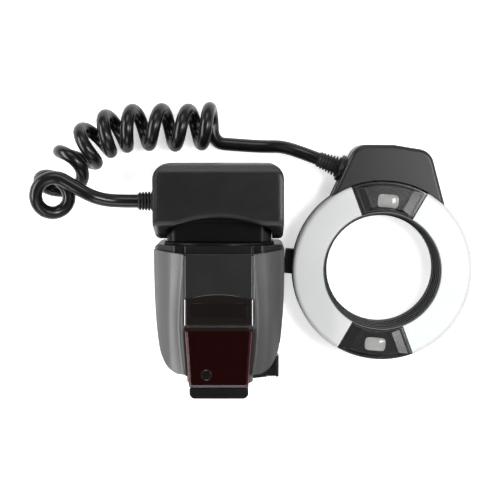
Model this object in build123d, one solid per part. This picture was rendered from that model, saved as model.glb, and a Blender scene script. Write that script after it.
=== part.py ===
from build123d import *
import math
import os

# A ring flash for close-up work lies flat: its control unit on its back at the left,
# its ring head on its back at the right, and the curly cord between them on the table.
# X runs across both units, Y up the control unit, Z up from the table. Millimetres.

# Where the two units lie
unit_x = -49.95
unit_spacing = 94.6
ring_turn = -4.8
foot_y = -73.45
ring_y = 0.1

# Clearances and cuts
overrun = 2.0
moving_gap = 0.3
shaft_gap = 0.05
seat_gap = 0.1
key_gap = 0.2

# Control unit, the body: heights run up from the tips of the foot's contacts
body_half = 37.0
body_top = 90.4
body_bottom = 17.0
taper_height = 60.0
hip_half = 33.8
hip_height = 30.0
corner_half = 29.0
corner_height = 20.5
flat_half = 19.5
top_round = 3.0
taper_round = 300.0
hip_round = 28.0
corner_round = 9.5
flat_round = 28.0
wall = 2.2
back_wall = 2.5
back_round = 6.0
split_depth = 40.5
flank_start = 41.5
flank_half = 25.0
flank_depth = 54.6
flank_round = 14.0
ridge_round = 3.0
column_half = 18.8
column_low_half = 16.7
column_depth = 57.5
column_bottom = 11.2
cap_side = 2.6
cap_middle = 4.6
seam_depth = 0.5
seam_width = 0.6

# Control unit, the front: fascia, windows and chin
fascia_top = 85.6
fascia_thick = 1.5
window_split = 45.4
upper_side_height = 60.9
upper_crown = 3.0
upper_thick = 2.4
upper_lens_half = 16.0
upper_lens_height = 8.4
upper_lens_rise = 4.6
upper_lens_sink = 0.8
line_gap = 0.4
red_depth = 62.5
red_bottom = 11.5
red_wall = 1.4
red_bevel = 1.6
red_round = 2.2
lamp_x = 0.5
lamp_height = 27.4
lamp_radius = 4.9
lamp_dome = 1.9
lamp_rim = 0.9
sensor_x = -7.4
sensor_height = 18.9
sensor_radius = 3.5
sensor_hole = 2.0
sensor_thick = 1.6
chin_top = 10.9
chin_bottom = 4.2
chin_depth = 57.2
chin_round = 3.2
chin_half = 16.6

# Control unit, the foot: standard accessory shoe plate
foot_depth = 27.0
plate_width = 18.6
plate_length = 18.0
plate_thick = 2.0
plate_chamfer = 1.0
pin_proud = 0.4
neck_width = 12.4
neck_length = 13.0
base_bottom = 4.4
base_flange = 4.9
base_front = 49.8
base_back = 8.6
base_half = 16.6
base_round = 3.0
drum_radius = 16.2
contact_radius = 1.1
contact_spread = 5.2
contact_centre_radius = 1.5
contact_length = 3.6
lock_pin_radius = 1.0
lock_pin_set = 7.2
lock_pin_length = 5.6
lever_ring = 3.0
lever_rise = 0.2
lever_height = 4.0
lever_arm_width = 9.0
lever_tab_inner = 21.2
lever_tab_outer = 34.6
lever_tab_low = 4.2
lever_tab_high = 15.2
lever_tab_rise = 12.6
lever_gap = 0.9
lever_round = 1.6
lever_groove = 0.6
lever_groove_count = 7

# Control unit, battery bay, its door on the left side and its contacts
bay_inner = 20.4
bay_mouth = -30.6
bay_size = 30.6
bay_bottom = 31.0
bay_back = 7.4
tray_wall = 1.2
door_margin = 2.6
door_edge_gap = 0.3
knuckle_radius = 1.1
knuckle_inset = 1.1
door_pin_radius = 0.6
door_pin_grip = 1.2
door_rib_count = 5
door_rib_pitch = 2.6
door_rib_thick = 1.2
door_rib_proud = 0.5
door_pad_face = -31.4
contact_spring_radius = 3.6
contact_spring_tip = 1.9
contact_spring_rise = 1.6
contact_plate = 0.4
terminal_low = 32.0
terminal_high = 43.0
terminal_back = 16.0
terminal_front = 30.0
terminal_proud = 0.9

# Control unit, the back: control panel, display, keys and what lies behind them
panel_half = 28.5
panel_low = 24.0
panel_high = 85.0
panel_round = 4.0
panel_pocket = 1.8
panel_face = 0.6
display_half = 22.0
display_low = 56.0
display_high = 81.0
display_round = 1.5
display_ledge = 1.5
display_thick = 1.0
display_module_thick = 1.7
key_face = 0.2
key_flange = 0.6
key_flange_lip = 0.7
key_round = 1.6
board_half = 28.0
board_low = 24.5
board_high = 86.0
board_back = 4.4
board_thick = 1.6
switch_depth = 0.35
capacitor_radius = 9.0
capacitor_length = 40.0
capacitor_height = 74.5
capacitor_vent = 0.6

# Control unit, the head that tilts on the neck
tilt_height = 107.9
tilt_depth = 31.0
knuckle_neck_radius = 14.2
neck_half = 29.9
neck_stem = 13.0
neck_round = 7.0
collar_top = 92.0
collar_half = 31.2
collar_side = 9.0
collar_front = 57.0
collar_back = 6.0
ear_radius = 15.0
ear_gap = 0.3
head_half = 36.3
head_top = 136.5
head_front = 63.5
head_lip = 102.4
head_top_round = 9.0
head_edge_round = 6.0
head_back_round = 7.0
head_wall = 2.4
head_split = 40.0
arch_half = 28.4
arch_side = 100.4
arch_crown = 106.7
arch_round = 3.0
tilt_pin_radius = 3.0
tilt_pin_reach = 7.0
tilt_cap_radius = 5.0
tilt_cap_sink = 0.8

# Strain reliefs: ribbed boots of soft plastic
cord_diameter = 7.7
boot_height = 114.4
boot_length = 10.6
boot_radius = 5.9
boot_tip_radius = 5.0
boot_ribs = 5
boot_rib_share = 0.55
boot_core = 4.4
boot_gap = 0.3
ring_boot_length = 13.0
ring_boot_radius = 6.3
ring_boot_tip_radius = 4.7
ring_boot_ribs = 7
ring_boot_angle = -17.0
ring_boot_x = -26.0
ring_boot_y = 56.6
ring_nut_radius = 7.8
ring_nut_thick = 4.2
boot_depth = 12.4

# Curly cord: the routes of its free stretches, and one place of its axis for each turn of
# its curls, with the axis's tilt from straight down and its bearing from X in degrees
run_share = 0.45
lead_points = [
    (-106.05, 40.95, 31.0), (-115.75, 41.6, 33.2)]
lead_run = 9.0
curl_stations = [
    (-143.05, 44.9, 39.0, -29.4, 62.6), (-147.65, 45.5, 19.7, 32.9, 61.7),
    (-137.75, 61.0, 14.4, 59.9, 63.2), (-127.55, 72.2, 14.3, 90.0, 42.0),
    (-116.25, 79.7, 14.3, 90.0, 26.0), (-103.55, 82.9, 14.3, 90.0, 10.0),
    (-87.95, 83.8, 14.3, 90.0, 0.0), (-72.45, 83.2, 14.3, 90.0, 0.0),
    (-57.85, 84.2, 14.3, 90.0, 0.0), (-53.5, 84.6, 14.3, 90.0, 0.0)]
curl_exit = (-45.0, 73.6, 3.9)
curl_exit_bearing = -4.0
curl_radius = 10.4
curl_turns = 8.5
curl_spans = 34
curl_step = 0.0001
gap_samples = 12
tail_points = [(-21.5, 72.3, 4.4), (-13.0, 72.4, 7.4)]
tail_start = 8.0
tail_run = 8.5

# Ring head
ring_radius = 52.2
ring_depth = 25.6
ring_split = 12.5
ring_wall = 2.0
ring_round = 2.6
ring_back_round = 2.0
bore_radius = 31.8
bore_land = 6.0
bore_mouth_radius = 33.7
sleeve_outer = 34.4
sleeve_ribs = 5
sleeve_rib_share = 0.5
sleeve_rib_height = 0.5
wedge_angle = 25.2
base_plate = 1.6
hump_top = 73.5
hump_half = 21.9
hump_root_half = 33.0
hump_root = 41.0
hump_crown = 1.7
hump_round = 10.0
hump_depth = 24.0
hump_edge = 2.2
hump_seam = 0.4
diffuser_gap = 0.15
diffuser_wall = 1.6
diffuser_edge = 2.4
reflector_inner = 37.4
reflector_outer = 48.8
reflector_height = 5.0
reflector_wall = 0.8
reflector_angle = 112.0
tube_radius = 2.2
tube_angle = 100.0
lamp_window_half = 6.7
lamp_window_tall = 9.0
lamp_window_round = 1.4
lamp_window_thick = 1.5
lamp_sink = 5.6
lamp_inner_half = 11.5
lamp_outer_half = 12.6
lamp_flare = 5.2
lamp_ledge = 0.6
upper_lamp_y = 40.6
lower_lamp_y = -43.6
led_size = 5.0
led_height = 2.4
led_rim = 0.8
led_window_gap = 0.5
ring_board_inner = 36.7
ring_board_outer = 49.0
ring_board_rise = 8.0
ring_board_thick = 1.6
ring_post_radius = 2.4
ring_post_count = 8
release_half = 7.2
release_low = 2.9
release_high = 11.9
release_proud = 4.6
release_travel = 2.6
release_depth = 5.4
release_lip_thick = 1.2
release_round = 1.0
release_grip_count = 3
release_grip_depth = 0.35
spring_radius = 2.0
spring_wire = 0.5

ring_x = unit_x + unit_spacing
unit_frame = Pos(unit_x, foot_y, 0)
ring_frame = Pos(ring_x, ring_y, 0) * Rot(0, 0, ring_turn)
cord_radius = cord_diameter / 2


# Shapes that several pieces share
def block(x0, x1, y0, y1, z0, z1):
    return Pos((x0 + x1) / 2, (y0 + y1) / 2, (z0 + z1) / 2) * Box(x1 - x0, y1 - y0, z1 - z0)


def post(x, y, z0, z1, radius):
    return Pos(x, y, (z0 + z1) / 2) * Cylinder(radius, z1 - z0)


def rod_x(x0, x1, y, z, radius):
    return Pos((x0 + x1) / 2, y, z) * Rot(0, 90, 0) * Cylinder(radius, x1 - x0)


def rod_y(y0, y1, x, z, radius):
    return Pos(x, (y0 + y1) / 2, z) * Rot(90, 0, 0) * Cylinder(radius, y1 - y0)


def plate(face, z0, z1):
    return extrude(Pos(0, 0, z0) * face, z1 - z0, dir=(0, 0, 1))


def along_y(face, y0, y1):
    return extrude(Plane.XZ.offset(-y0) * face, y1 - y0, dir=(0, 1, 0))


def along_x(face, x0, x1):
    return extrude(Plane.YZ.offset(x0) * face, x1 - x0, dir=(1, 0, 0))


def mirrored_face(half_line):
    return make_face(half_line + mirror(half_line, Plane.YZ))


def panel_face_shape(half, low, high, corner):
    return Pos(0, (low + high) / 2) * RectangleRounded(2 * half, high - low, corner)


# The body's two outlines: from the front, and across it
def body_outline(inset=0.0):
    half_line = FilletPolyline(
        (0, body_top - inset), (body_half - inset, body_top - inset), (body_half - inset, taper_height),
        (hip_half - inset, hip_height), (corner_half - inset, corner_height + inset / 2),
        (flat_half - inset / 2, body_bottom + inset), (0, body_bottom + inset),
        radius=[top_round, taper_round, hip_round, corner_round - inset, flat_round])
    return mirrored_face(half_line)


def body_section():
    half_line = FilletPolyline(
        (0, 0), (body_half, 0), (body_half, flank_start), (flank_half, flank_depth),
        (column_half, flank_depth), (column_half, column_depth), (0, column_depth),
        radius=[back_round, flank_round, ridge_round, seam_width, seam_width])
    return mirrored_face(half_line)


def hollow_section():
    half_line = FilletPolyline(
        (0, back_wall), (body_half - wall, back_wall), (body_half - wall, flank_start),
        (flank_half - wall / 2, flank_depth - wall), (0, flank_depth - wall),
        radius=[back_round - wall, flank_round - wall, ridge_round])
    return mirrored_face(half_line)


def body_block():
    return plate(body_outline(), 0, column_depth) & along_y(body_section(), 0, body_top + overrun)


def body_hollow():
    return plate(body_outline(wall), 0, column_depth) & along_y(hollow_section(), 0, body_top)


def depth_slice(z0, z1):
    return block(-body_half - overrun, body_half + overrun, 0, body_top + overrun, z0, z1)


def column_outline(inset, low, high):
    return make_face(Polyline(
        (-column_low_half + inset, low), (column_low_half - inset, low),
        (column_half - inset, window_split), (column_half - inset, high),
        (-column_half + inset, high), (-column_half + inset, window_split), close=True))


# Battery bay, its door and the pin it swings on
def bay_middle():
    return bay_bottom + bay_size / 2, bay_back + bay_size / 2


def door_region(margin):
    low = bay_bottom - door_margin - margin
    high = bay_bottom + bay_size + door_margin + knuckle_radius + margin
    back = bay_back - seat_gap - margin
    front = bay_back + bay_size + seat_gap + margin
    return block(-body_half - overrun, -hip_half + knuckle_inset + wall, low, high, back, front)


def door_axis():
    return -body_half + knuckle_inset, bay_bottom + bay_size + door_margin


def door_pin():
    x, y = door_axis()
    back = bay_back - seat_gap - door_edge_gap - door_pin_grip
    front = bay_back + bay_size + seat_gap + door_edge_gap + door_pin_grip
    return post(x, y, back, front, door_pin_radius)


def battery_door():
    x, y = door_axis()
    low = bay_bottom - door_margin
    back = bay_back - seat_gap
    front = bay_back + bay_size + seat_gap
    skin = body_block() - body_hollow()
    leaf = skin & block(-body_half - overrun, -hip_half + knuckle_inset + wall, low, y, back, front)
    knuckle = post(x, y, back, front, knuckle_radius)
    door = leaf + knuckle - post(x, y, back, front, door_pin_radius + shaft_gap)
    proud = plate(offset(body_outline(), door_rib_proud), back, front)
    centre = (low + y) / 2
    for i in range(door_rib_count):
        rib_y = centre + (i - (door_rib_count - 1) / 2) * door_rib_pitch
        rib = block(-body_half - overrun, -hip_half, rib_y - door_rib_thick / 2,
                    rib_y + door_rib_thick / 2, back + door_margin, front - door_margin)
        door += rib & proud - plate(offset(body_outline(), -wall / 2), 0, column_depth)
    return door + door_pads()


def cell_places():
    y, z = bay_middle()
    return [(y + i * bay_size / 4, z + j * bay_size / 4) for i in (-1, 1) for j in (-1, 1)]


def battery_tray():
    y0 = bay_bottom
    y1 = bay_bottom + bay_size
    z0 = bay_back
    z1 = bay_back + bay_size
    outer = block(bay_mouth, bay_inner + tray_wall, y0 - tray_wall, y1 + tray_wall,
                  z0 - tray_wall, z1 + tray_wall)
    return outer - block(bay_mouth - overrun, bay_inner, y0, y1, z0, z1)


def battery_contacts():
    springs = Part()
    for y, z in cell_places():
        cone = Pos(bay_inner - contact_spring_rise / 2, y, z) * Rot(0, -90, 0) * Cone(
            contact_spring_radius, contact_spring_tip, contact_spring_rise)
        springs += cone
    return springs


def door_pads():
    y, z = bay_middle()
    reach = bay_size / 4 + contact_spring_radius
    return body_block() & block(-body_half, door_pad_face, y - reach, y + reach, z - reach, z + reach)


def door_contacts():
    x = door_pad_face
    pair = Part()
    y, z = bay_middle()
    for j in (-1, 1):
        strip_z = z + j * bay_size / 4
        reach = bay_size / 4 + contact_spring_radius
        pair += block(x, x + contact_plate, y - reach, y + reach,
                      strip_z - contact_spring_radius, strip_z + contact_spring_radius)
    return pair


# Keys and switch: name, centre x, centre height, half width, half height, shape
keys = [
    ("mode_key", -20.0, 48.6, 5.0, 2.6),
    ("sync_key", -7.0, 48.6, 5.0, 2.6),
    ("ratio_key", 7.0, 48.6, 5.0, 2.6),
    ("lamp_key", 20.0, 48.6, 5.0, 2.6),
    ("minus_key", -10.5, 38.6, 3.4, 3.4),
    ("set_key", 0.0, 38.6, 4.2, 4.2),
    ("plus_key", 10.5, 38.6, 3.4, 3.4),
    ("test_key", -20.0, 29.6, 4.0, 4.0),
]
switch_x = 16.0
switch_y = 29.6
switch_knob_half = 3.0
switch_knob_tall = 2.4
switch_travel = 7.6


def key_outline(half_x, half_y, grow):
    corner = min(key_round, half_y / 2) + grow
    return RectangleRounded(2 * (half_x + grow), 2 * (half_y + grow), corner)


def key(x, y, half_x, half_y):
    cap = plate(Pos(x, y) * key_outline(half_x, half_y, 0), key_face, back_wall + moving_gap)
    cap = fillet(cap.faces().sort_by(Axis.Z)[0].edges(), panel_face / 2)
    low = back_wall + moving_gap
    flange = plate(Pos(x, y) * key_outline(half_x, half_y, key_flange_lip), low, low + key_flange)
    return cap + flange


def switch_slot_half():
    return switch_knob_half + switch_travel / 2 + moving_gap


def power_switch():
    low = back_wall + moving_gap
    start = switch_x - switch_slot_half() + moving_gap
    end = start + 2 * switch_knob_half
    knob = block(start, end, switch_y - switch_knob_tall, switch_y + switch_knob_tall, key_face, low)
    slider = block(start - key_flange_lip, end + key_flange_lip,
                   switch_y - switch_knob_tall - key_flange_lip,
                   switch_y + switch_knob_tall + key_flange_lip, low, low + key_flange)
    return knob + slider


def panel_holes(z0, z1):
    holes = Part()
    for name, x, y, half_x, half_y in keys:
        holes += plate(Pos(x, y) * key_outline(half_x, half_y, key_gap), z0, z1)
    slot_tall = switch_knob_tall + key_gap
    slot_half = switch_slot_half()
    holes += block(switch_x - slot_half, switch_x + slot_half,
                   switch_y - slot_tall, switch_y + slot_tall, z0, z1)
    return holes


def control_panel():
    face = panel_face_shape(panel_half, panel_low, panel_high, panel_round)
    opening = panel_face_shape(display_half + seat_gap, display_low - seat_gap,
                               display_high + seat_gap, display_round)
    body = plate(face, panel_face, panel_pocket)
    return body - plate(opening, 0, panel_pocket) - panel_holes(0, panel_pocket)


def display_window():
    face = panel_face_shape(display_half, display_low, display_high, display_round)
    return plate(face, panel_pocket - display_thick, panel_pocket)


def display_module():
    half = display_half - display_ledge + overrun
    low = display_low + display_ledge - overrun
    high = display_high - display_ledge + overrun
    return block(-half, half, low, high, back_wall, back_wall + display_module_thick)


# Shells of the body
def rear_shell():
    shell = (body_block() - body_hollow()) & depth_slice(0, split_depth)
    shell -= body_cap_region()
    shell -= door_region(door_edge_gap)
    pocket = panel_face_shape(panel_half + seat_gap, panel_low - seat_gap,
                              panel_high + seat_gap, panel_round)
    shell -= plate(pocket, -overrun, panel_pocket)
    shell -= panel_holes(0, back_wall + overrun / 2)
    opening = panel_face_shape(display_half - display_ledge, display_low + display_ledge,
                               display_high - display_ledge, display_round)
    shell -= plate(opening, 0, back_wall + overrun / 2)
    x, y = door_axis()
    z0 = bay_back - seat_gap - door_edge_gap - door_pin_grip
    z1 = bay_back + bay_size + seat_gap + door_edge_gap + door_pin_grip
    for low, high in ((z0, z0 + door_pin_grip), (z1 - door_pin_grip, z1)):
        boss = post(x + knuckle_inset / 2, y, low, high, knuckle_radius + door_margin / 2)
        shell += boss & body_block()
    return shell - post(x, y, z0, z1, door_pin_radius)


def front_shell():
    shell = (body_block() - body_hollow()) & depth_slice(split_depth, column_depth)
    shell -= body_cap_region()
    nose = plate(column_outline(0, column_bottom, fascia_top), flank_depth - wall, column_depth)
    hollow = plate(column_outline(wall, body_bottom + wall, fascia_top - wall),
                   flank_depth - wall, column_depth - wall)
    throat = block(-column_low_half + wall, column_low_half - wall, body_bottom + wall,
                   fascia_top - wall, split_depth, flank_depth)
    return shell + (nose - hollow) - throat


def body_cap_region():
    far = body_half + overrun
    high = body_top + overrun
    low = body_top - cap_middle
    face = make_face(Polyline(
        (-far, high), (-far, body_top - cap_side), (-column_half, low), (column_half, low),
        (far, body_top - cap_side), (far, high), close=True))
    return plate(face, -overrun, column_depth + overrun)


def top_cover():
    cover = body_block() & body_cap_region()
    under = body_hollow()
    return cover - under


# Front of the body
def upper_outline(inset):
    side = upper_side_height - inset
    low = window_split + line_gap + inset
    half = column_half - inset
    crown = ThreePointArc((half, side), (0, side + upper_crown), (-half, side))
    return make_face(Polyline((-half, side), (-half, low), (half, low), (half, side)) + crown)


def center_fascia():
    face = column_outline(0, window_split + line_gap, fascia_top) - upper_outline(-line_gap)
    return plate(face, column_depth, column_depth + fascia_thick)


def upper_window():
    window = plate(upper_outline(0), column_depth, column_depth + upper_thick)
    window = fillet(window.faces().sort_by(Axis.Z)[-1].edges(), upper_lens_sink)
    low = window_split + upper_lens_rise
    face = panel_face_shape(upper_lens_half, low, low + upper_lens_height, red_round)
    top = column_depth + upper_thick
    return window - plate(face, top - upper_lens_sink, top + overrun)


def red_window():
    outer = make_face(Polyline(
        (-column_low_half, red_bottom), (column_low_half, red_bottom),
        (column_half, window_split - line_gap), (-column_half, window_split - line_gap), close=True))
    outer = fillet(outer.vertices(), red_round)
    body = plate(outer, column_depth, red_depth)
    body = chamfer(body.faces().sort_by(Axis.Z)[-1].edges(), red_bevel)
    inner = offset(outer, -red_wall)
    return body - plate(inner, column_depth, red_depth - red_wall)


def focus_lamp():
    base = column_depth + lamp_rim
    rim = post(lamp_x, lamp_height, column_depth, base, lamp_radius)
    ball = (lamp_radius ** 2 + lamp_dome ** 2) / (2 * lamp_dome)
    dome = Pos(lamp_x, lamp_height, base + lamp_dome - ball) * Sphere(ball)
    return rim + (dome & post(lamp_x, lamp_height, base, base + lamp_dome, lamp_radius))


def light_sensor():
    top = column_depth + sensor_thick
    ring = post(sensor_x, sensor_height, column_depth, top, sensor_radius)
    return ring - post(sensor_x, sensor_height, top - sensor_thick / 2, top + overrun, sensor_hole)


def chin_cover():
    half_line = FilletPolyline((0, chin_top), (chin_half, chin_top), (chin_half, chin_bottom),
                               (0, chin_bottom), radius=[lever_round, chin_round])
    chin = plate(mirrored_face(half_line), base_front, chin_depth)
    return fillet(chin.faces().sort_by(Axis.Z)[-1].edges(), lever_round / 2)


def terminal_cover():
    proud = offset(body_outline(), terminal_proud)
    face = block(0, body_half + overrun, terminal_low, terminal_high, terminal_back, terminal_front)
    skin = plate(proud, 0, column_depth) - plate(body_outline(), 0, column_depth)
    return skin & face


# Foot, its lock and what locks it
def foot_base():
    middle = (base_front + base_back) / 2
    outline = Pos(0, middle) * RectangleRounded(2 * base_half, base_front - base_back, base_round)
    flange = along_y(outline, base_bottom, base_bottom + base_flange)
    drum = rod_y(base_bottom + base_flange, body_bottom, 0, foot_depth, drum_radius)
    well = rod_y(0, body_bottom - overrun, 0, foot_depth + lock_pin_set,
                 lock_pin_radius + shaft_gap)
    return flange + drum - well - contact_wells(shaft_gap)


def contact_places():
    corners = [(i * contact_spread, foot_depth + j * contact_spread) for i in (-1, 1) for j in (-1, 1)]
    return [(0.0, foot_depth, contact_centre_radius)] + [(x, z, contact_radius) for x, z in corners]


def contact_wells(grow):
    wells = Part()
    for x, z, radius in contact_places():
        wells += rod_y(0, contact_length + grow, x, z, radius + grow)
    return wells


def contact_pins():
    return contact_wells(0)


def foot_plate():
    low = pin_proud
    high = pin_proud + plate_thick
    shoe = block(-plate_width / 2, plate_width / 2, low, high,
                 foot_depth - plate_length / 2, foot_depth + plate_length / 2)
    shoe = chamfer(shoe.edges().filter_by(Axis.Y), plate_chamfer)
    stem = block(-neck_width / 2, neck_width / 2, high, base_bottom,
                 foot_depth - neck_length / 2, foot_depth + neck_length / 2)
    hole = rod_y(0, base_bottom, 0, foot_depth + lock_pin_set, lock_pin_radius + shaft_gap)
    return shoe + stem - hole - contact_wells(0)


def lock_pin():
    return rod_y(pin_proud, pin_proud + lock_pin_length, 0, foot_depth + lock_pin_set, lock_pin_radius)


def lock_lever():
    low = base_bottom + base_flange + lever_rise
    high = low + lever_height
    inner = drum_radius + seat_gap
    outer = inner + lever_ring
    ring = rod_y(low, high, 0, foot_depth, outer)
    middle_x = (lever_tab_inner + lever_tab_outer) / 2
    middle_z = (lever_tab_low + lever_tab_high) / 2
    reach = math.hypot(middle_x, middle_z - foot_depth)
    angle = math.degrees(math.atan2(foot_depth - middle_z, middle_x))
    arm = Pos(0, 0, foot_depth) * Rot(0, angle, 0) * block(
        inner, reach, low, high, -lever_arm_width / 2, lever_arm_width / 2)
    tab = block(lever_tab_inner, lever_tab_outer, low, low + lever_tab_rise,
                lever_tab_low, lever_tab_high)
    outer_edges = tab.edges().filter_by(Axis.Y).group_by(Axis.X)[-1]
    tab = fillet(outer_edges, lever_round)
    lever = ring + arm + tab - plate(offset(body_outline(), lever_gap), 0, column_depth)
    lever -= rod_y(low, high, 0, foot_depth, inner)
    pitch = (lever_tab_outer - lever_tab_inner - 2 * lever_round) / lever_groove_count
    for i in range(lever_groove_count):
        x = lever_tab_inner + lever_round + (i + 0.5) * pitch
        lever -= block(x - pitch / 4, x + pitch / 4, low, low + lever_groove,
                       lever_tab_low, lever_tab_high)
    return lever


# Boards and capacitor inside the body
def main_board():
    face = panel_face_shape(board_half, board_low, board_high, panel_round)
    board = plate(face, board_back, board_back + board_thick)
    for name, x, y, half_x, half_y in keys:
        board += plate(Pos(x, y) * key_outline(half_x, half_y, 0), board_back - switch_depth, board_back)
    return board


def main_capacitor():
    z = board_back + board_thick + seat_gap + capacitor_radius
    half = capacitor_length / 2
    can = rod_x(-half, half, capacitor_height, z, capacitor_radius)
    groove = rod_x(-half + overrun, -half + 2 * overrun, capacitor_height, z, capacitor_radius)
    core = rod_x(-half, half, capacitor_height, z, capacitor_radius - capacitor_vent)
    return can - (groove - core)


# Neck and head
def neck_collar():
    side = tilt_depth + collar_side
    far = tilt_depth - collar_side
    front = ThreePointArc((collar_half, side), (0, collar_front), (-collar_half, side))
    back = ThreePointArc((-collar_half, far), (0, collar_back), (collar_half, far))
    sides = Line((-collar_half, side), (-collar_half, far)) + Line((collar_half, far), (collar_half, side))
    collar = along_y(make_face(front + back + sides), body_top, collar_top)
    return chamfer(collar.faces().sort_by(Axis.Y)[-1].edges(), seam_depth)


def neck_block():
    knuckle = rod_x(-neck_half, neck_half, tilt_height, tilt_depth, knuckle_neck_radius)
    outline = Pos(0, tilt_depth) * RectangleRounded(2 * neck_half, 2 * neck_stem, neck_round)
    stem = along_y(outline, collar_top, tilt_height)
    block_solid = knuckle + stem
    for side in (-1, 1):
        ends = sorted((side * neck_half, side * (neck_half - tilt_pin_reach)))
        block_solid -= rod_x(ends[0], ends[1], tilt_height, tilt_depth, tilt_pin_radius + shaft_gap)
    return block_solid


def head_outline():
    half_line = FilletPolyline((0, head_top), (head_half, head_top), (head_half, tilt_height - ear_radius),
                               (0, tilt_height - ear_radius), radius=[head_top_round, arch_round])
    return mirrored_face(half_line)


def head_profile(inset):
    line = FilletPolyline(
        (tilt_height, tilt_depth - ear_radius), (head_top, tilt_depth - ear_radius),
        (head_top, head_front), (head_lip, head_front),
        (tilt_height - ear_radius, tilt_depth), (tilt_height, tilt_depth),
        radius=[head_back_round, head_edge_round, ridge_round, knuckle_radius], close=False)
    closing = Line((tilt_height, tilt_depth), (tilt_height, tilt_depth - ear_radius))
    body = make_face(line + closing) + Pos(tilt_height, tilt_depth) * Circle(ear_radius)
    return offset(body, -inset) if inset else body


def neck_room():
    clear = neck_stem + moving_gap
    room = rod_x(-neck_half - ear_gap, neck_half + ear_gap, tilt_height, tilt_depth,
                 knuckle_neck_radius + moving_gap)
    half = neck_half + ear_gap
    low = tilt_height - ear_radius - overrun
    back = tilt_depth - ear_radius - overrun
    room += block(-half, half, low, tilt_height, back, tilt_depth + clear)
    room += block(-half, half, low, tilt_height + clear, back, tilt_depth)
    return room


def arch_cut():
    low = tilt_height - ear_radius - overrun
    crown = ThreePointArc((arch_half, arch_side), (0, arch_crown), (-arch_half, arch_side))
    half = neck_half + ear_gap
    sides = Polyline((-arch_half, arch_side), (-half, arch_side - arch_round), (-half, low), (half, low),
                     (half, arch_side - arch_round), (arch_half, arch_side))
    return plate(make_face(crown + sides), tilt_depth, head_front + overrun)


def head_solid():
    head = plate(head_outline(), 0, head_front) & along_x(head_profile(0), -head_half, head_half)
    return head - neck_room() - arch_cut()


def head_hollow():
    inner = offset(head_outline(), -head_wall)
    low = tilt_height + knuckle_neck_radius + head_wall
    front = tilt_depth + neck_stem + moving_gap + head_wall
    hollow = plate(inner, 0, head_front) & along_x(head_profile(head_wall), -head_half, head_half)
    upper = block(-head_half, head_half, low, head_top, 0, head_front)
    fore = block(-head_half, head_half, arch_crown + head_wall, head_top, front, head_front)
    return hollow & (upper + fore)


def head_rear_shell():
    shell = (head_solid() - head_hollow()) & block(
        -head_half, head_half, 0, head_top, 0, head_split)
    for side in (-1, 1):
        inner = side * (neck_half - overrun)
        outer = side * (head_half + overrun)
        ends = sorted((inner, outer))
        shell -= rod_x(ends[0], ends[1], tilt_height, tilt_depth, tilt_pin_radius)
        sunk = sorted((outer, side * (head_half - tilt_cap_sink)))
        shell -= rod_x(sunk[0], sunk[1], tilt_height, tilt_depth, tilt_cap_radius)
    return shell


def head_front_shell():
    return (head_solid() - head_hollow()) & block(
        -head_half, head_half, 0, head_top, head_split, head_front + overrun)


def tilt_pin(side):
    inner = side * (neck_half - tilt_pin_reach + moving_gap)
    outer = side * head_half
    ends = sorted((inner, outer))
    pin = rod_x(ends[0], ends[1], tilt_height, tilt_depth, tilt_pin_radius)
    cap = sorted((side * (head_half - tilt_cap_sink), outer))
    return pin + rod_x(cap[0], cap[1], tilt_height, tilt_depth, tilt_cap_radius - seat_gap)


# A boot that stands along its own Z: base at zero, tip at its length
def ribbed_boot(length, base_radius, tip_radius, ribs):
    pitch = length / ribs
    core_share = boot_core / boot_radius
    boot = Part()
    for i in range(ribs):
        low = i * pitch
        rib_low = base_radius + (tip_radius - base_radius) * i / ribs
        boot += Pos(0, 0, low + pitch * boot_rib_share / 2) * Cylinder(rib_low, pitch * boot_rib_share)
    core_low = base_radius * core_share
    core_high = max(tip_radius * core_share, cord_radius + boot_gap / 2)
    boot += Pos(0, 0, length / 2) * Cone(core_low, core_high, length)
    boot += Pos(0, 0, length - pitch * boot_rib_share / 2) * Cylinder(tip_radius, pitch * boot_rib_share)
    return boot


def head_boot():
    boot = ribbed_boot(boot_length, boot_radius, boot_tip_radius, boot_ribs)
    return Pos(-head_half, boot_height, tilt_depth) * Rot(0, -90, 0) * boot


def ring_boot_place():
    return Pos(ring_boot_x, ring_boot_y, boot_depth) * Rot(0, 0, ring_boot_angle) * Rot(0, -90, 0)


def ring_boot():
    boot = ribbed_boot(ring_boot_length, ring_boot_radius, ring_boot_tip_radius, ring_boot_ribs)
    return ring_boot_place() * Pos(0, 0, ring_nut_thick) * boot


def ring_boot_nut():
    nut = Pos(0, 0, ring_nut_thick / 2) * Cylinder(ring_nut_radius, ring_nut_thick)
    nut = fillet(nut.edges().sort_by(Axis.Z)[-1], lever_round / 2)
    return ring_boot_place() * nut - hump_block(0, hump_depth)


# Ring head
def hump_outline():
    half_line = FilletPolyline(
        (0, hump_top), (hump_half, hump_top - hump_crown), (hump_root_half, hump_root),
        (hump_root_half, 0), (0, 0), radius=[hump_round, hump_edge, hump_edge])
    return mirrored_face(half_line)


def hump_block(z0, z1):
    return plate(hump_outline(), z0, z1) - post(0, 0, z0 - overrun, z1 + overrun, ring_radius + hump_seam)


def ring_disc(radius, z0, z1):
    return post(0, 0, z0, z1, radius)


def wedge(z0, z1, grow):
    reach = ring_radius + overrun
    half = reach * math.tan(math.radians(wedge_angle))
    face = make_face(Polyline((0, 0), (half, reach), (-half, reach), close=True))
    if grow:
        face = offset(face, grow, kind=Kind.INTERSECTION)
    upper = plate(face, z0, z1)
    return upper + mirror(upper, Plane.XZ)


def release_room():
    inner = ring_radius - release_depth - release_travel
    half = release_half + moving_gap
    return block(-ring_radius - overrun, -inner, -half, half, release_low - moving_gap,
                 release_high + moving_gap)


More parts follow.
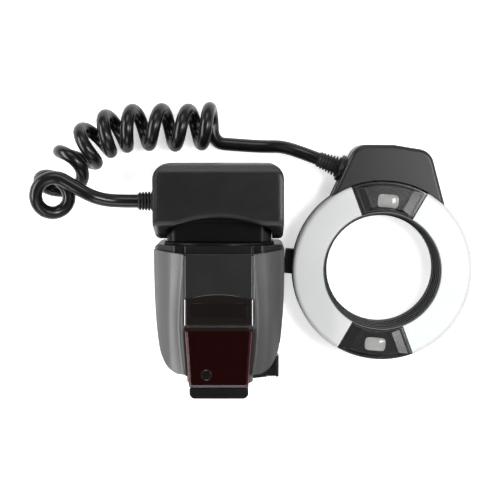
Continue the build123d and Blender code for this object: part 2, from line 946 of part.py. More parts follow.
def ring_rear_shell():
    disc = chamfer(ring_disc(ring_radius, 0, ring_split).edges().sort_by(Axis.Z)[0], ring_back_round)
    disc += plate(hump_outline(), ring_back_round, ring_split)
    hollow = ring_disc(ring_radius - ring_wall, ring_wall, ring_split + overrun)
    shell = disc - hollow
    shell += ring_disc(sleeve_outer + ring_wall, 0, ring_split)
    shell -= ring_disc(sleeve_outer, -overrun, ring_split + overrun)
    for i in range(ring_post_count):
        angle = math.radians((i + 0.5) * 360 / ring_post_count)
        middle = (ring_board_inner + ring_board_outer) / 2
        shell += post(middle * math.cos(angle), middle * math.sin(angle), ring_wall,
                      ring_board_rise, ring_post_radius)
    return shell - release_room()


def ring_board():
    board = ring_disc(ring_board_outer, ring_board_rise, ring_board_rise + ring_board_thick)
    board -= ring_disc(ring_board_inner + seat_gap, 0, ring_depth)
    return board - release_room()


def lamp_recess(y):
    half = lamp_window_half + lamp_ledge
    low = Pos(0, y, ring_depth - lamp_sink) * Rectangle(2 * half, lamp_window_tall + 2 * lamp_ledge)
    away = math.copysign(lamp_flare, y)
    high = Pos(0, y, ring_depth + seat_gap) * make_face(Polyline(
        (-lamp_outer_half, away), (-lamp_inner_half, -away), (lamp_inner_half, -away),
        (lamp_outer_half, away), close=True))
    recess = loft([low, high])
    seat = Pos(0, y) * RectangleRounded(2 * (lamp_window_half + seat_gap), lamp_window_tall + 2 * seat_gap,
                                        lamp_window_round)
    floor = ring_depth - lamp_sink - lamp_window_thick
    return recess + plate(seat, floor, ring_depth - lamp_sink) + post(0, y, ring_split, floor, led_size)


def ring_front_cover():
    plate_ring = ring_disc(ring_radius - diffuser_wall, ring_split, ring_split + base_plate)
    tops = ring_disc(ring_radius, ring_split, ring_depth) & wedge(ring_split, ring_depth, 0)
    rim = tops.faces().sort_by(Axis.Z)[-1].edges().filter_by(GeomType.CIRCLE)
    tops = fillet(rim, ring_round)
    cover = plate_ring + tops
    cover -= ring_disc(sleeve_outer, 0, ring_depth + overrun)
    for y in (upper_lamp_y, lower_lamp_y):
        cover -= lamp_recess(y)
    return cover


def ring_hump_cover():
    hump = plate(hump_outline(), ring_split, hump_depth)
    hump = fillet(hump.faces().sort_by(Axis.Z)[-1].edges(), hump_edge)
    return hump - post(0, 0, 0, ring_depth, ring_radius + hump_seam)


def diffuser(side):
    outer = ring_disc(ring_radius, ring_split, ring_depth)
    outer = fillet(outer.faces().sort_by(Axis.Z)[-1].edges(), diffuser_edge)
    outer -= ring_disc(sleeve_outer + diffuser_gap, 0, ring_depth + overrun)
    half = block(0, ring_radius, -ring_radius, ring_radius, 0, ring_depth)
    arc = outer & half if side > 0 else outer & mirror(half, Plane.YZ)
    arc -= wedge(0, ring_depth + overrun, diffuser_gap)
    core = ring_disc(ring_radius - diffuser_wall, 0, ring_depth - diffuser_wall)
    core -= ring_disc(sleeve_outer + diffuser_gap + diffuser_wall, 0, ring_depth)
    core -= wedge(0, ring_depth, diffuser_gap + diffuser_wall)
    arc -= core
    return arc - ring_disc(ring_radius - diffuser_wall, 0, ring_split + base_plate)


def reflector(side):
    floor = ring_split + base_plate
    x0 = reflector_inner
    x1 = reflector_outer
    z1 = floor + reflector_height
    outer = Polyline((x0, z1), (x0 + reflector_wall, floor), (x1 - reflector_wall, floor), (x1, z1),
                     (x1 - reflector_wall, z1), (x1 - 2 * reflector_wall, floor + reflector_wall),
                     (x0 + 2 * reflector_wall, floor + reflector_wall), (x0 + reflector_wall, z1), close=True)
    face = Plane.XZ * make_face(outer)
    start = -reflector_angle / 2 + (180 if side < 0 else 0)
    return revolve(Rot(0, 0, start) * face, Axis.Z, reflector_angle)


def flash_tube(side):
    middle = (reflector_inner + reflector_outer) / 2
    z = ring_split + base_plate + reflector_wall + seat_gap + tube_radius
    face = Plane.XZ * Pos(middle, z) * Circle(tube_radius)
    start = -tube_angle / 2 + (180 if side < 0 else 0)
    return revolve(Rot(0, 0, start) * face, Axis.Z, tube_angle)


def bore_sleeve():
    top = ring_depth - seat_gap
    points = [(sleeve_outer, 0), (bore_radius, 0), (bore_radius, bore_land)]
    pitch = (top - bore_land) / sleeve_ribs
    for i in range(sleeve_ribs):
        low = bore_land + i * pitch
        step = bore_radius + (bore_mouth_radius - bore_radius) * (i + 1) / sleeve_ribs
        points += [(step, low), (step, low + pitch * sleeve_rib_share),
                   (step - sleeve_rib_height, low + pitch * sleeve_rib_share),
                   (step - sleeve_rib_height, low + pitch)]
    points += [(sleeve_outer, top)]
    face = Plane.XZ * make_face(Polyline(*points, close=True))
    return revolve(face, Axis.Z, 360)


def lamp_window(y):
    face = Pos(0, y) * RectangleRounded(2 * lamp_window_half, lamp_window_tall, lamp_window_round)
    return plate(face, ring_depth - lamp_sink - lamp_window_thick, ring_depth - lamp_sink)


def lamp_light(y):
    low = ring_board_rise + ring_board_thick
    high = ring_depth - lamp_sink - lamp_window_thick - led_window_gap
    half = led_size / 2
    stand = block(-half, half, y - half, y + half, low, high - led_height / 2)
    return stand + post(0, y, high - led_height / 2, high, led_size / 2 - led_rim / 2)


def release_button():
    x1 = ring_radius + release_proud
    x0 = ring_radius - ring_wall - release_lip_thick - moving_gap
    face = block(x0, x1, -release_half, release_half, release_low, release_high)
    face = fillet(face.faces().sort_by(Axis.X)[-1].edges(), release_round)
    pitch = (release_high - release_low) / (release_grip_count + 1)
    for i in range(release_grip_count):
        z = release_low + (i + 1) * pitch
        face -= block(x1 - release_grip_depth, x1 + overrun, -release_half, release_half,
                      z - pitch / 6, z + pitch / 6)
    return mirror(face, Plane.YZ)


def release_spring(side):
    x0 = -ring_radius + ring_wall + release_lip_thick + moving_gap
    x1 = -ring_radius + release_depth + release_travel
    y = side * release_half / 2
    z = (release_low + release_high) / 2
    return rod_x(x0, x1, y, z, spring_radius) - rod_x(x0, x1, y, z, spring_radius - spring_wire)


# Curly cord: its free stretches are straight runs joined by arcs
def radius_list(points):
    corners = [Vector(*point) for point in points]
    radii = []
    for before, here, after in zip(corners, corners[1:], corners[2:]):
        coming = here - before
        going = after - here
        turn = math.radians(coming.get_angle(going))
        radii.append(run_share * min(coming.length, going.length) / math.tan(turn / 2))
    return radii


def cord_tube(name, points):
    radii = radius_list(points)
    path = FilletPolyline(*points, radius=radii)
    start = Plane(origin=path @ 0, z_dir=path % 0)
    tube = sweep(start * Circle(cord_radius), path=path)
    share = tube.volume / (math.pi * cord_radius ** 2 * path.length)
    print(name, "length", round(path.length, 1), "volume share", round(share, 3),
          "radii", [round(radius, 1) for radius in radii])
    return tube


# The curls wind round an axis that comes down from the end loop and then lies level
def curl_station(place):
    i = min(int(place), len(curl_stations) - 2)
    along = place - i
    before = curl_stations[max(i - 1, 0)]
    here = curl_stations[i]
    after = curl_stations[i + 1]
    beyond = curl_stations[min(i + 2, len(curl_stations) - 1)]
    ease = along ** 2 * (3 - 2 * along)
    values = []
    for a, b, c, d in zip(before, here, after, beyond):
        leaving = (c - a) / 2 if i else c - b
        arriving = (d - b) / 2
        values.append(b + (c - b) * ease + leaving * along * (1 - along) ** 2
                      - arriving * along ** 2 * (1 - along))
    return values


def curl_point(place):
    x, y, z, tilt, bearing = curl_station(place)
    tilt = math.radians(tilt)
    bearing = math.radians(bearing)
    level = Vector(math.cos(bearing), math.sin(bearing), 0)
    axis = level * math.sin(tilt) - Vector(0, 0, 1) * math.cos(tilt)
    side = level * math.cos(tilt) + Vector(0, 0, 1) * math.sin(tilt)
    turn = 2 * math.pi * place
    return Vector(x, y, z) + (side * math.cos(turn) - axis.cross(side) * math.sin(turn)) * curl_radius


def curl_direction(place):
    low = max(place - curl_step, 0)
    high = min(place + curl_step, curl_turns)
    return (curl_point(high) - curl_point(low)).normalized()


def biarc(start, start_direction, end, end_direction):
    chord = end - start
    both = start_direction + end_direction
    twice = 2 * (1 - start_direction.dot(end_direction))
    lean = chord.dot(both)
    reach = (math.sqrt(lean ** 2 + twice * chord.dot(chord)) - lean) / twice
    middle = (start + start_direction * reach + end - end_direction * reach) / 2
    return [Edge.make_tangent_arc(start, start_direction, middle),
            Edge.make_tangent_arc(middle, middle_direction(start, start_direction, middle), end)]


def middle_direction(start, direction, middle):
    chord = (middle - start).normalized()
    return chord * (2 * chord.dot(direction)) - direction


def exit_direction():
    bearing = math.radians(curl_exit_bearing)
    return Vector(math.cos(bearing), math.sin(bearing), 0)


def curl_ends():
    first = curl_point(0) - curl_direction(0) * cord_diameter
    return first, Vector(*curl_exit) + exit_direction() * cord_diameter


def curl_tube():
    places = [i * curl_turns / curl_spans for i in range(curl_spans + 1)]
    lead_in, lead_out = curl_ends()
    edges = [Edge.make_line(lead_in, curl_point(0))]
    for low, high in zip(places, places[1:]):
        edges += biarc(curl_point(low), curl_direction(low), curl_point(high), curl_direction(high))
    last = curl_point(curl_turns)
    edges += biarc(last, curl_direction(curl_turns), Vector(*curl_exit), exit_direction())
    edges.append(Edge.make_line(Vector(*curl_exit), lead_out))
    path = Wire(edges)
    tube = sweep(Plane(origin=lead_in, z_dir=curl_direction(0)) * Circle(cord_radius), path=path)
    share = tube.volume / (math.pi * cord_radius ** 2 * path.length)
    print("curls length", round(path.length, 1), "volume share", round(share, 3),
          "least gap", round(least_gap(), 2))
    return tube


def least_gap():
    count = curl_spans * gap_samples
    points = [curl_point(i * curl_turns / count) for i in range(count + 1)]
    apart = int(count / curl_turns / 3)
    gap = curl_radius
    for i, point in enumerate(points):
        for other in points[i + apart:]:
            gap = min(gap, (other - point).length - cord_diameter)
    return gap


def lead_route():
    end = curl_ends()[0]
    start = (unit_frame * Pos(-head_half - boot_length, boot_height, tilt_depth)).position
    return [start, *lead_points, end - curl_direction(0) * lead_run, end]


def tail_route():
    boot_end = ring_nut_thick + ring_boot_length
    tip = (ring_frame * ring_boot_place() * Pos(0, 0, boot_end)).position
    nearer = (ring_frame * ring_boot_place() * Pos(0, 0, boot_end + tail_run)).position
    start = curl_ends()[1]
    onward = start + exit_direction() * tail_start
    return [start, onward, *tail_points, nearer, tip]


os.makedirs("parts", exist_ok=True)


def save(name, shape, frame):
    placed = frame * shape
    placed.label = name
    export_step(placed, f"parts/{name}.step")


def pair(make, first, second):
    return Compound([make(first), make(second)])


unit_parts = {
    "rear_shell": rear_shell,
    "front_shell": front_shell,
    "top_cover": top_cover,
    "center_fascia": center_fascia,
    "upper_window": upper_window,
    "red_window": red_window,
    "focus_lamp": focus_lamp,
    "light_sensor": light_sensor,
    "chin_cover": chin_cover,
    "terminal_cover": terminal_cover,
    "foot_base": foot_base,
    "foot_plate": foot_plate,
    "contact_pins": contact_pins,
    "lock_pin": lock_pin,
    "lock_lever": lock_lever,
    "battery_tray": battery_tray,
    "battery_contacts": battery_contacts,
    "battery_door": battery_door,
    "door_pin": door_pin,
    "door_contacts": door_contacts,
    "control_panel": control_panel,
    "display_window": display_window,
    "display_module": display_module,
    "power_switch": power_switch,
    "main_board": main_board,
    "main_capacitor": main_capacitor,
    "neck_collar": neck_collar,
    "neck_block": neck_block,
    "head_rear_shell": head_rear_shell,
    "head_front_shell": head_front_shell,
    "head_boot": head_boot,
}
for name, make in unit_parts.items():
    save(name, make(), unit_frame)
for name, x, y, half_x, half_y in keys:
    save(name, key(x, y, half_x, half_y), unit_frame)
save("tilt_pins", pair(tilt_pin, -1, 1), unit_frame)

ring_parts = {
    "ring_rear_shell": ring_rear_shell(),
    "ring_front_cover": ring_front_cover(),
    "ring_hump_cover": ring_hump_cover(),
    "ring_board": ring_board(),
    "bore_sleeve": bore_sleeve(),
    "lamp_windows": pair(lamp_window, upper_lamp_y, lower_lamp_y),
    "lamp_lights": pair(lamp_light, upper_lamp_y, lower_lamp_y),
    "reflectors": pair(reflector, -1, 1),
    "flash_tubes": pair(flash_tube, -1, 1),
    "release_springs": pair(release_spring, -1, 1),
    "ring_boot": ring_boot(),
    "ring_boot_nut": ring_boot_nut(),
    "left_diffuser": diffuser(-1),
    "right_diffuser": diffuser(1),
    "left_release": release_button(),
}
for name, shape in ring_parts.items():
    save(name, shape, ring_frame)
save("cord_lead", cord_tube("lead", lead_route()), Pos(0, 0, 0))
save("cord_coil", curl_tube(), Pos(0, 0, 0))
save("cord_tail", cord_tube("tail", tail_route()), Pos(0, 0, 0))
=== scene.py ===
import bpy
import bmesh
import math
from mathutils import Matrix, Vector


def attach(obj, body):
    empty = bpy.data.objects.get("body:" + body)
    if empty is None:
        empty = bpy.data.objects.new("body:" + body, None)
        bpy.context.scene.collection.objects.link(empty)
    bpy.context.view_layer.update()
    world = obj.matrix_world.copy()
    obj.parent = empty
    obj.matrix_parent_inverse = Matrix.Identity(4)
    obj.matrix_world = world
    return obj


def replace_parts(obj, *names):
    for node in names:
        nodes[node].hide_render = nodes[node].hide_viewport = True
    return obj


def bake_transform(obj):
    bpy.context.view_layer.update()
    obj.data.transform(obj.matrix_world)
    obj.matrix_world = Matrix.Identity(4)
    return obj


# A ring flash for close-up work lies on its back on a white table, seen from above.
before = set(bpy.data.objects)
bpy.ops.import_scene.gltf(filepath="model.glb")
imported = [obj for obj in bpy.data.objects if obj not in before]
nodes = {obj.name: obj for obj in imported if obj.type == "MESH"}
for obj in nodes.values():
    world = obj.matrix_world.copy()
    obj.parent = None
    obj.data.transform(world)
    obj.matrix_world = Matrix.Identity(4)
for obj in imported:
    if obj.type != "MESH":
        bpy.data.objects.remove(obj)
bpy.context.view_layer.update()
scene = bpy.context.scene
mm = 0.001
print("stage: frame loaded,", len(nodes), "nodes")

# Where the control unit's foot and the middle of the ring head lie, as in the solids
layout = {"unit": (-49.95, -73.45, 0), "ring": (44.65, 0.1, 0), "ringTurn": -4.8}
unitFrame = Matrix.Translation([value * mm for value in layout["unit"]])
ringFrame = (Matrix.Translation([value * mm for value in layout["ring"]])
             @ Matrix.Rotation(math.radians(layout["ringTurn"]), 4, "Z"))
sideways = Matrix.Rotation(math.radians(-90), 4, "Y")  # turns a piece's own Z to the left


def unitPoint(x, y, z):
    return unitFrame @ Vector((x * mm, y * mm, z * mm))


def ringPoint(x, y, z):
    return ringFrame @ Vector((x * mm, y * mm, z * mm))


# Materials: small node graphs on object coordinates, with pattern sizes in millimetres
class Graph:
    def __init__(self, name):
        self.material = bpy.data.materials.new(name)
        self.material.use_nodes = True
        self.tree = self.material.node_tree
        self.tree.nodes.clear()
        self.output = self.tree.nodes.new("ShaderNodeOutputMaterial")
        self.coordinates = self.tree.nodes.new("ShaderNodeTexCoord").outputs["Object"]

    def node(self, kind, **settings):
        made = self.tree.nodes.new(kind)
        for key, value in settings.items():
            setattr(made, key, value)
        return made

    def link(self, source, target):
        self.tree.links.new(source, target)

    def fill(self, target, value):
        if isinstance(value, bpy.types.NodeSocket):
            self.link(value, target)
        else:
            target.default_value = value

    def add(self, first, second):
        made = self.node("ShaderNodeMath", operation="ADD")
        self.fill(made.inputs[0], first)
        self.fill(made.inputs[1], second)
        return made.outputs[0]

    def mix(self, share, first, second):
        made = self.node("ShaderNodeMix", data_type="RGBA")
        self.fill(made.inputs["Factor"], share)
        self.fill(made.inputs[6], first)
        self.fill(made.inputs[7], second)
        return made.outputs[2]

    def noise(self, size, detail=3.0, stretch=(1, 1, 1)):
        mapping = self.node("ShaderNodeMapping")
        mapping.inputs["Scale"].default_value = stretch
        self.link(self.coordinates, mapping.inputs["Vector"])
        made = self.node("ShaderNodeTexNoise")
        made.inputs["Scale"].default_value = 1 / (size * mm)
        made.inputs["Detail"].default_value = detail
        self.link(mapping.outputs[0], made.inputs["Vector"])
        return made.outputs[0]

    def cells(self, size):
        made = self.node("ShaderNodeTexVoronoi")
        made.inputs["Scale"].default_value = 1 / (size * mm)
        self.link(self.coordinates, made.inputs["Vector"])
        return made.outputs["Distance"]

    def range(self, value, low, high):
        made = self.node("ShaderNodeMapRange")
        self.fill(made.inputs["Value"], value)
        made.inputs["To Min"].default_value = low
        made.inputs["To Max"].default_value = high
        return made.outputs[0]

    def bump(self, height, depth, strength=0.3, edge=0.0):
        made = self.node("ShaderNodeBump")
        made.inputs["Strength"].default_value = strength
        made.inputs["Distance"].default_value = depth * mm
        self.fill(made.inputs["Height"], height)
        if edge:  # corners look rounded by this radius
            rounded = self.node("ShaderNodeBevel", samples=4)
            rounded.inputs["Radius"].default_value = edge * mm
            self.link(rounded.outputs[0], made.inputs["Normal"])
        return made.outputs[0]

    def surface(self, **values):
        shader = self.node("ShaderNodeBsdfPrincipled")
        for key, value in values.items():
            self.fill(shader.inputs[key.replace("_", " ")], value)
        self.link(shader.outputs[0], self.output.inputs["Surface"])
        return self.material


tones = {
    "blueShare": 1.02,
    "redPale": (0.06, 0.0024, 0.003, 1),
    "redDeep": (0.045, 0.002, 0.0025, 1),
    "milkDim": (0.50, 0.515, 0.515, 1),
    "milkPale": (0.54, 0.55, 0.545, 1),
    "boardDark": (0.01, 0.10, 0.035, 1),
    "boardPale": (0.03, 0.2, 0.07, 1),
}


def grey(value):
    return (value, value, value * tones["blueShare"], 1)


def mouldedPlastic(name, tone, roughness, grain=0.22, edge=0.35, depth=0.05, gleam=0.5):
    graph = Graph(name)
    pores = graph.noise(grain, detail=4.0)
    smudge = graph.noise(14.0, detail=2.0)
    colour = graph.mix(graph.range(smudge, 0.2, 0.8), grey(tone * 0.85), grey(tone * 1.2))
    wear = graph.range(smudge, -0.05, 0.05)
    rough = graph.add(wear, graph.range(pores, roughness - 0.05, roughness + 0.05))
    normal = graph.bump(pores, depth, strength=0.35, edge=edge)
    return graph.surface(Base_Color=colour, Roughness=rough, Normal=normal, Specular_IOR_Level=gleam)


def paintedFlank():
    graph = Graph("satin_gunmetal_flank")
    flakes = graph.cells(0.18)
    smudge = graph.noise(18.0, detail=2.0)
    colour = graph.mix(graph.range(flakes, 0.0, 1.0), grey(0.036), grey(0.066))
    colour = graph.mix(graph.range(smudge, 0.0, 0.35), colour, grey(0.04))
    normal = graph.bump(flakes, 0.02, strength=0.2, edge=0.5)
    return graph.surface(Base_Color=colour, Metallic=0.35, Roughness=graph.range(smudge, 0.36, 0.46),
                         Normal=normal)


def glossPlastic(name, colour, roughness=0.06, edge=0.3, coat=0.2):
    graph = Graph(name)
    ripple = graph.noise(9.0, detail=1.0)
    dust = graph.noise(0.35)
    tone = graph.mix(graph.range(dust, 0.0, 0.12), colour, grey(0.03))
    normal = graph.bump(ripple, 0.03, strength=0.12, edge=edge)
    return graph.surface(Base_Color=tone, Roughness=graph.range(dust, roughness, roughness + 0.07),
                         Normal=normal, Coat_Weight=coat, Coat_Roughness=0.04)


def redFilter():
    graph = Graph("dark_red_filter")
    streak = graph.noise(4.0, detail=2.0)
    dust = graph.noise(0.4)
    colour = graph.mix(graph.range(streak, 0.0, 0.3), tones["redPale"], tones["redDeep"])
    normal = graph.bump(streak, 0.02, strength=0.1)
    return graph.surface(Base_Color=colour, Roughness=graph.range(dust, 0.03, 0.10), Normal=normal,
                         Transmission_Weight=0.9, IOR=1.49, Specular_IOR_Level=0.35)


def milkyArc():
    graph = Graph("milky_arc")
    cloud = graph.noise(22.0)
    pearl = graph.noise(0.5)
    colour = graph.mix(graph.range(cloud, 0.1, 0.9), tones["milkDim"], tones["milkPale"])
    normal = graph.bump(pearl, 0.04, strength=0.25, edge=0.4)
    return graph.surface(Base_Color=colour, Roughness=graph.range(pearl, 0.34, 0.46), Normal=normal,
                         Specular_IOR_Level=0.3, Subsurface_Weight=0.25, Subsurface_Scale=0.002)


def clearPlastic(name, clearness, tone):
    graph = Graph(name)
    ripple = graph.noise(2.5, detail=2.0)
    normal = graph.bump(ripple, 0.1, strength=0.25)
    return graph.surface(Base_Color=(tone, tone * 1.01, tone * 0.97, 1), Normal=normal, IOR=1.46,
                         Roughness=graph.range(ripple, 0.05, 0.16), Transmission_Weight=clearness)


def softJacket(name, tone, roughness, gleam=0.5):
    graph = Graph(name)
    pores = graph.noise(0.3, detail=4.0)
    drift = graph.noise(16.0, detail=2.0)
    colour = graph.mix(graph.range(drift, 0.1, 0.9), grey(tone * 0.8), grey(tone * 1.3))
    normal = graph.bump(pores, 0.04, strength=0.25)
    return graph.surface(Base_Color=colour, Roughness=graph.range(drift, roughness - 0.05, roughness + 0.07),
                         Normal=normal, Specular_IOR_Level=gleam)


def metal(name, colour, roughness):
    graph = Graph(name)
    lines = graph.noise(0.4, detail=4.0, stretch=(1, 18, 1))
    tone = graph.mix(graph.range(lines, 0.0, 0.3), colour, grey(0.25))
    normal = graph.bump(lines, 0.02, strength=0.25, edge=0.15)
    return graph.surface(Base_Color=tone, Metallic=1.0, Normal=normal,
                         Roughness=graph.range(lines, roughness - 0.06, roughness + 0.1))


def lacqueredBoard():
    graph = Graph("lacquered_board")
    weave = graph.noise(0.8, stretch=(1, 6, 1))
    tracks = graph.cells(2.2)
    colour = graph.mix(graph.range(tracks, 0.0, 0.7), tones["boardDark"], tones["boardPale"])
    return graph.surface(Base_Color=colour, Roughness=graph.range(weave, 0.22, 0.4),
                         Normal=graph.bump(tracks, 0.05, strength=0.3))


def printedMark(name, colour):
    graph = Graph(name)
    grit = graph.noise(0.15)
    tone = graph.mix(graph.range(grit, 0.0, 0.25), colour, grey(0.3))
    return graph.surface(Base_Color=tone, Roughness=graph.range(grit, 0.45, 0.6))


finish = {
    "black": mouldedPlastic("satin_black_shell", 0.008, 0.34, gleam=0.3),
    "head": mouldedPlastic("smooth_black_head", 0.009, 0.22, grain=0.3, edge=4.0, depth=0.02, gleam=0.4),
    # the neck's black is darker and much less glossy than the shell's: painted shade where the neck sits
    # under the head
    "neck": mouldedPlastic("painted_shade_neck", 0.005, 0.28, grain=0.3, edge=0.6, gleam=0.07),
    "fascia": mouldedPlastic("fine_black_fascia", 0.009, 0.36, grain=0.15, depth=0.03, gleam=0.18),
    "flank": paintedFlank(),
    "ring": mouldedPlastic("soft_black_ring", 0.009, 0.33, depth=0.03, gleam=0.3),
    "blockface": mouldedPlastic("sheer_black_block", 0.008, 0.22, edge=0.5, depth=0.02, gleam=0.6),
    "chin": mouldedPlastic("dark_chin", 0.004, 0.30, grain=0.3, gleam=0.18),
    "sleeve": mouldedPlastic("matt_black_bore", 0.008, 0.5, grain=0.2, edge=0.1, gleam=0.3),
    "gloss": glossPlastic("polished_black_window", (0.005, 0.0032, 0.0026, 1)),
    "lens": glossPlastic("deep_black_lens", (0.003, 0.002, 0.0016, 1), roughness=0.03, edge=0.0, coat=0.0),
    "red": redFilter(),
    "milky": milkyArc(),
    "clear": clearPlastic("clear_plastic", 0.85, 0.93),
    "frosted": clearPlastic("frosted_plastic", 0.45, 0.42),
    "cord": softJacket("cord_jacket", 0.004, 0.24, gleam=0.3),
    "rubber": softJacket("boot_rubber", 0.006, 0.32, gleam=0.3),
    "keys": softJacket("key_rubber", 0.05, 0.5),
    "steel": metal("brushed_steel", (0.62, 0.62, 0.64, 1), 0.28),
    "gold": metal("gold_contact", (0.86, 0.66, 0.30, 1), 0.22),
    "bright": metal("bright_reflector", (0.88, 0.88, 0.90, 1), 0.16),
    "board": lacqueredBoard(),
    "white": printedMark("white_print", (0.75, 0.75, 0.74, 1)),
    "amber": printedMark("amber_phosphor", (0.78, 0.62, 0.18, 1)),
    "dim": printedMark("display_grey", (0.10, 0.11, 0.12, 1)),
    "rim": printedMark("pale_rim", (0.70, 0.71, 0.71, 1)),
    # grey lines: real seams, and along the ring's edges painted highlight and painted shade
    "seamAndPaintedEdge": printedMark("grey_seam", (0.16, 0.16, 0.16, 1)),
    # red wires on the red window's rims: painted highlight, a brighter red than the filter
    "redEdgeHighlight": glossPlastic("red_edge_highlight", (0.10, 0.004, 0.010, 1), roughness=0.3),
}
nodeFinish = {
    "flank": ["front_shell"],
    "fascia": ["center_fascia", "control_panel"],
    "head": ["head_front_shell", "head_rear_shell", "tilt_pins"],
    "neck": ["neck_block", "neck_collar"],
    "ring": ["ring_front_cover", "ring_hump_cover", "ring_rear_shell", "left_release"],
    "chin": ["chin_cover", "lock_lever", "top_cover"],
    "sleeve": ["bore_sleeve"],
    "gloss": ["upper_window", "display_window", "light_sensor"],
    "red": ["red_window"],
    "milky": ["left_diffuser", "right_diffuser"],
    "clear": ["flash_tubes", "focus_lamp"],
    "frosted": ["lamp_windows"],
    "rubber": ["head_boot", "ring_boot", "ring_boot_nut", "terminal_cover"],
    "cord": ["cord_lead", "cord_coil", "cord_tail"],
    "keys": ["mode_key", "sync_key", "ratio_key", "lamp_key", "minus_key", "set_key", "plus_key",
             "test_key", "power_switch"],
    "steel": ["foot_plate", "lock_pin", "door_pin", "release_springs"],
    "gold": ["contact_pins", "battery_contacts", "door_contacts"],
    "bright": ["reflectors", "main_capacitor"],
    "board": ["main_board", "ring_board", "display_module"],
    "amber": ["lamp_lights"],
}


def dressNodes():
    named = {node: look for look, members in nodeFinish.items() for node in members}
    for node, solid in nodes.items():
        solid.data.materials.clear()
        solid.data.materials.append(finish[named.get(node, "black")])


dressNodes()
print("stage: materials")


# Pieces: points closer than the weld gap become one.
# An edge that folds by more than the fold angle stays crisp.
foldAngle = math.radians(32)
weldGap = 0.002 * mm


def meshPiece(name, look, points, faces, body, smooth=True, fold=foldAngle):
    data = bpy.data.meshes.new(name)
    data.from_pydata([tuple(point) for point in points], [], faces)
    return finishPiece(name, data, look, body, smooth, fold)


def finishPiece(name, data, look, body, smooth=True, fold=foldAngle):
    data.materials.clear()
    data.materials.append(finish[look])
    edit = bmesh.new()
    edit.from_mesh(data)
    bmesh.ops.remove_doubles(edit, verts=edit.verts, dist=weldGap)
    bmesh.ops.recalc_face_normals(edit, faces=edit.faces)
    for face in edit.faces:
        face.smooth = smooth
    for edge in edit.edges:
        edge.smooth = len(edge.link_faces) == 2 and edge.calc_face_angle() < fold
    edit.to_mesh(data)
    edit.free()
    piece = bpy.data.objects.new(name, data)
    scene.collection.objects.link(piece)
    if body:
        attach(piece, body)
    return piece


# Faces between rows of points that go round, each row as long as the steps
def bandFaces(rows, steps, closed=False):
    faces = []
    for row in range(rows if closed else rows - 1):
        onward = (row + 1) % rows
        for i in range(steps):
            j = (i + 1) % steps
            faces.append((row * steps + i, row * steps + j, onward * steps + j, onward * steps + i))
    return faces


# Camera: nearly overhead, as the photograph was taken
camera = {"lens": 93.6, "sensor": 36.0, "tilt": -4.4, "place": (-32.45, 70.3, 778.8), "clip": (0.01, 20)}


def makeCamera():
    data = bpy.data.cameras.new("camera")
    data.lens = camera["lens"]
    data.sensor_width = camera["sensor"]
    data.clip_start, data.clip_end = camera["clip"]
    holder = bpy.data.objects.new("camera", data)
    holder.location = [value * mm for value in camera["place"]]
    holder.rotation_euler = (math.radians(camera["tilt"]), 0, 0)
    scene.collection.objects.link(holder)
    scene.camera = holder


makeCamera()
print("stage: camera")

# Curly cord, an end loop and curls of one turn for each station.
# A station is a place on the coil's axis: x, y, z, its tilt from straight down and its bearing.
cord = {
    "diameter": 7.7,
    "leadPoints": [(-96.85, 40.95, 31.0), (-106.05, 40.95, 31.0), (-115.75, 41.6, 33.2),
                   (-124.6, 44.5, 36.1)],
    "exitPoints": [(-54.6, 79.2, 3.9), (-51.2, 74.2, 3.9), (-45.0, 73.6, 3.9)],
    "tailPoints": [(-37.3, 73.1, 3.9), (-29.3, 72.5, 3.9), (-21.5, 72.3, 4.4), (-13.0, 72.4, 7.4),
                   (-0.4, 68.2, 12.4), (7.5, 65.1, 12.4)],
    "stations": [
        (-143.05, 44.9, 39.0, -29.4, 62.6), (-147.65, 45.5, 19.7, 32.9, 61.7),
        (-137.75, 61.0, 14.4, 59.9, 63.2), (-127.55, 72.2, 14.3, 90.0, 42.0),
        (-116.25, 79.7, 14.3, 90.0, 26.0), (-103.55, 82.9, 14.3, 90.0, 10.0),
        (-87.95, 83.8, 14.3, 90.0, 0.0), (-72.45, 83.2, 14.3, 90.0, 0.0),
        (-57.85, 84.2, 14.3, 90.0, 0.0), (-53.5, 84.6, 14.3, 90.0, 0.0)],
    "curlRadius": 10.4,
    "turns": 8.5,
    "leadTurns": 0.5,  # these ride on the lead
    "perTurn": 24,  # points of the route in each turn
    "order": 3,
    "roundness": 7,
    "leadSteps": 6,
    "curlSteps": 3,
    "bendEnd": -132.0,  # an x along the lead
}


# Between two stations each value follows a cubic, whose slope runs on from one stretch to the next
def curlStation(place):
    stations = cord["stations"]
    i = min(int(place), len(stations) - 2)
    along = place - i
    before = stations[max(i - 1, 0)]
    here = stations[i]
    after = stations[i + 1]
    beyond = stations[min(i + 2, len(stations) - 1)]
    ease = along ** 2 * (3 - 2 * along)
    values = []
    for a, b, c, d in zip(before, here, after, beyond):
        leaving = (c - a) / 2 if i else c - b
        arriving = (d - b) / 2
        bend = leaving * along * (1 - along) ** 2 - arriving * along ** 2 * (1 - along)
        values.append(b + (c - b) * ease + bend)
    return values


def curlPoint(place):
    x, y, z, tilt, bearing = curlStation(place)
    tilt = math.radians(tilt)
    bearing = math.radians(bearing)
    level = Vector((math.cos(bearing), math.sin(bearing), 0))
    down = Vector((0, 0, -1))
    axis = level * math.sin(tilt) + down * math.cos(tilt)
    side = level * math.cos(tilt) - down * math.sin(tilt)
    turn = 2 * math.pi * place
    # A spline runs a little inside its points
    radius = cord["curlRadius"] / math.cos(math.pi / cord["perTurn"]) ** 0.5
    return Vector((x, y, z)) + (side * math.cos(turn) - axis.cross(side) * math.sin(turn)) * radius


def curlRun(first, last):
    count = round((last - first) * cord["perTurn"])
    return [curlPoint(first + (last - first) * i / count) for i in range(count + 1)]


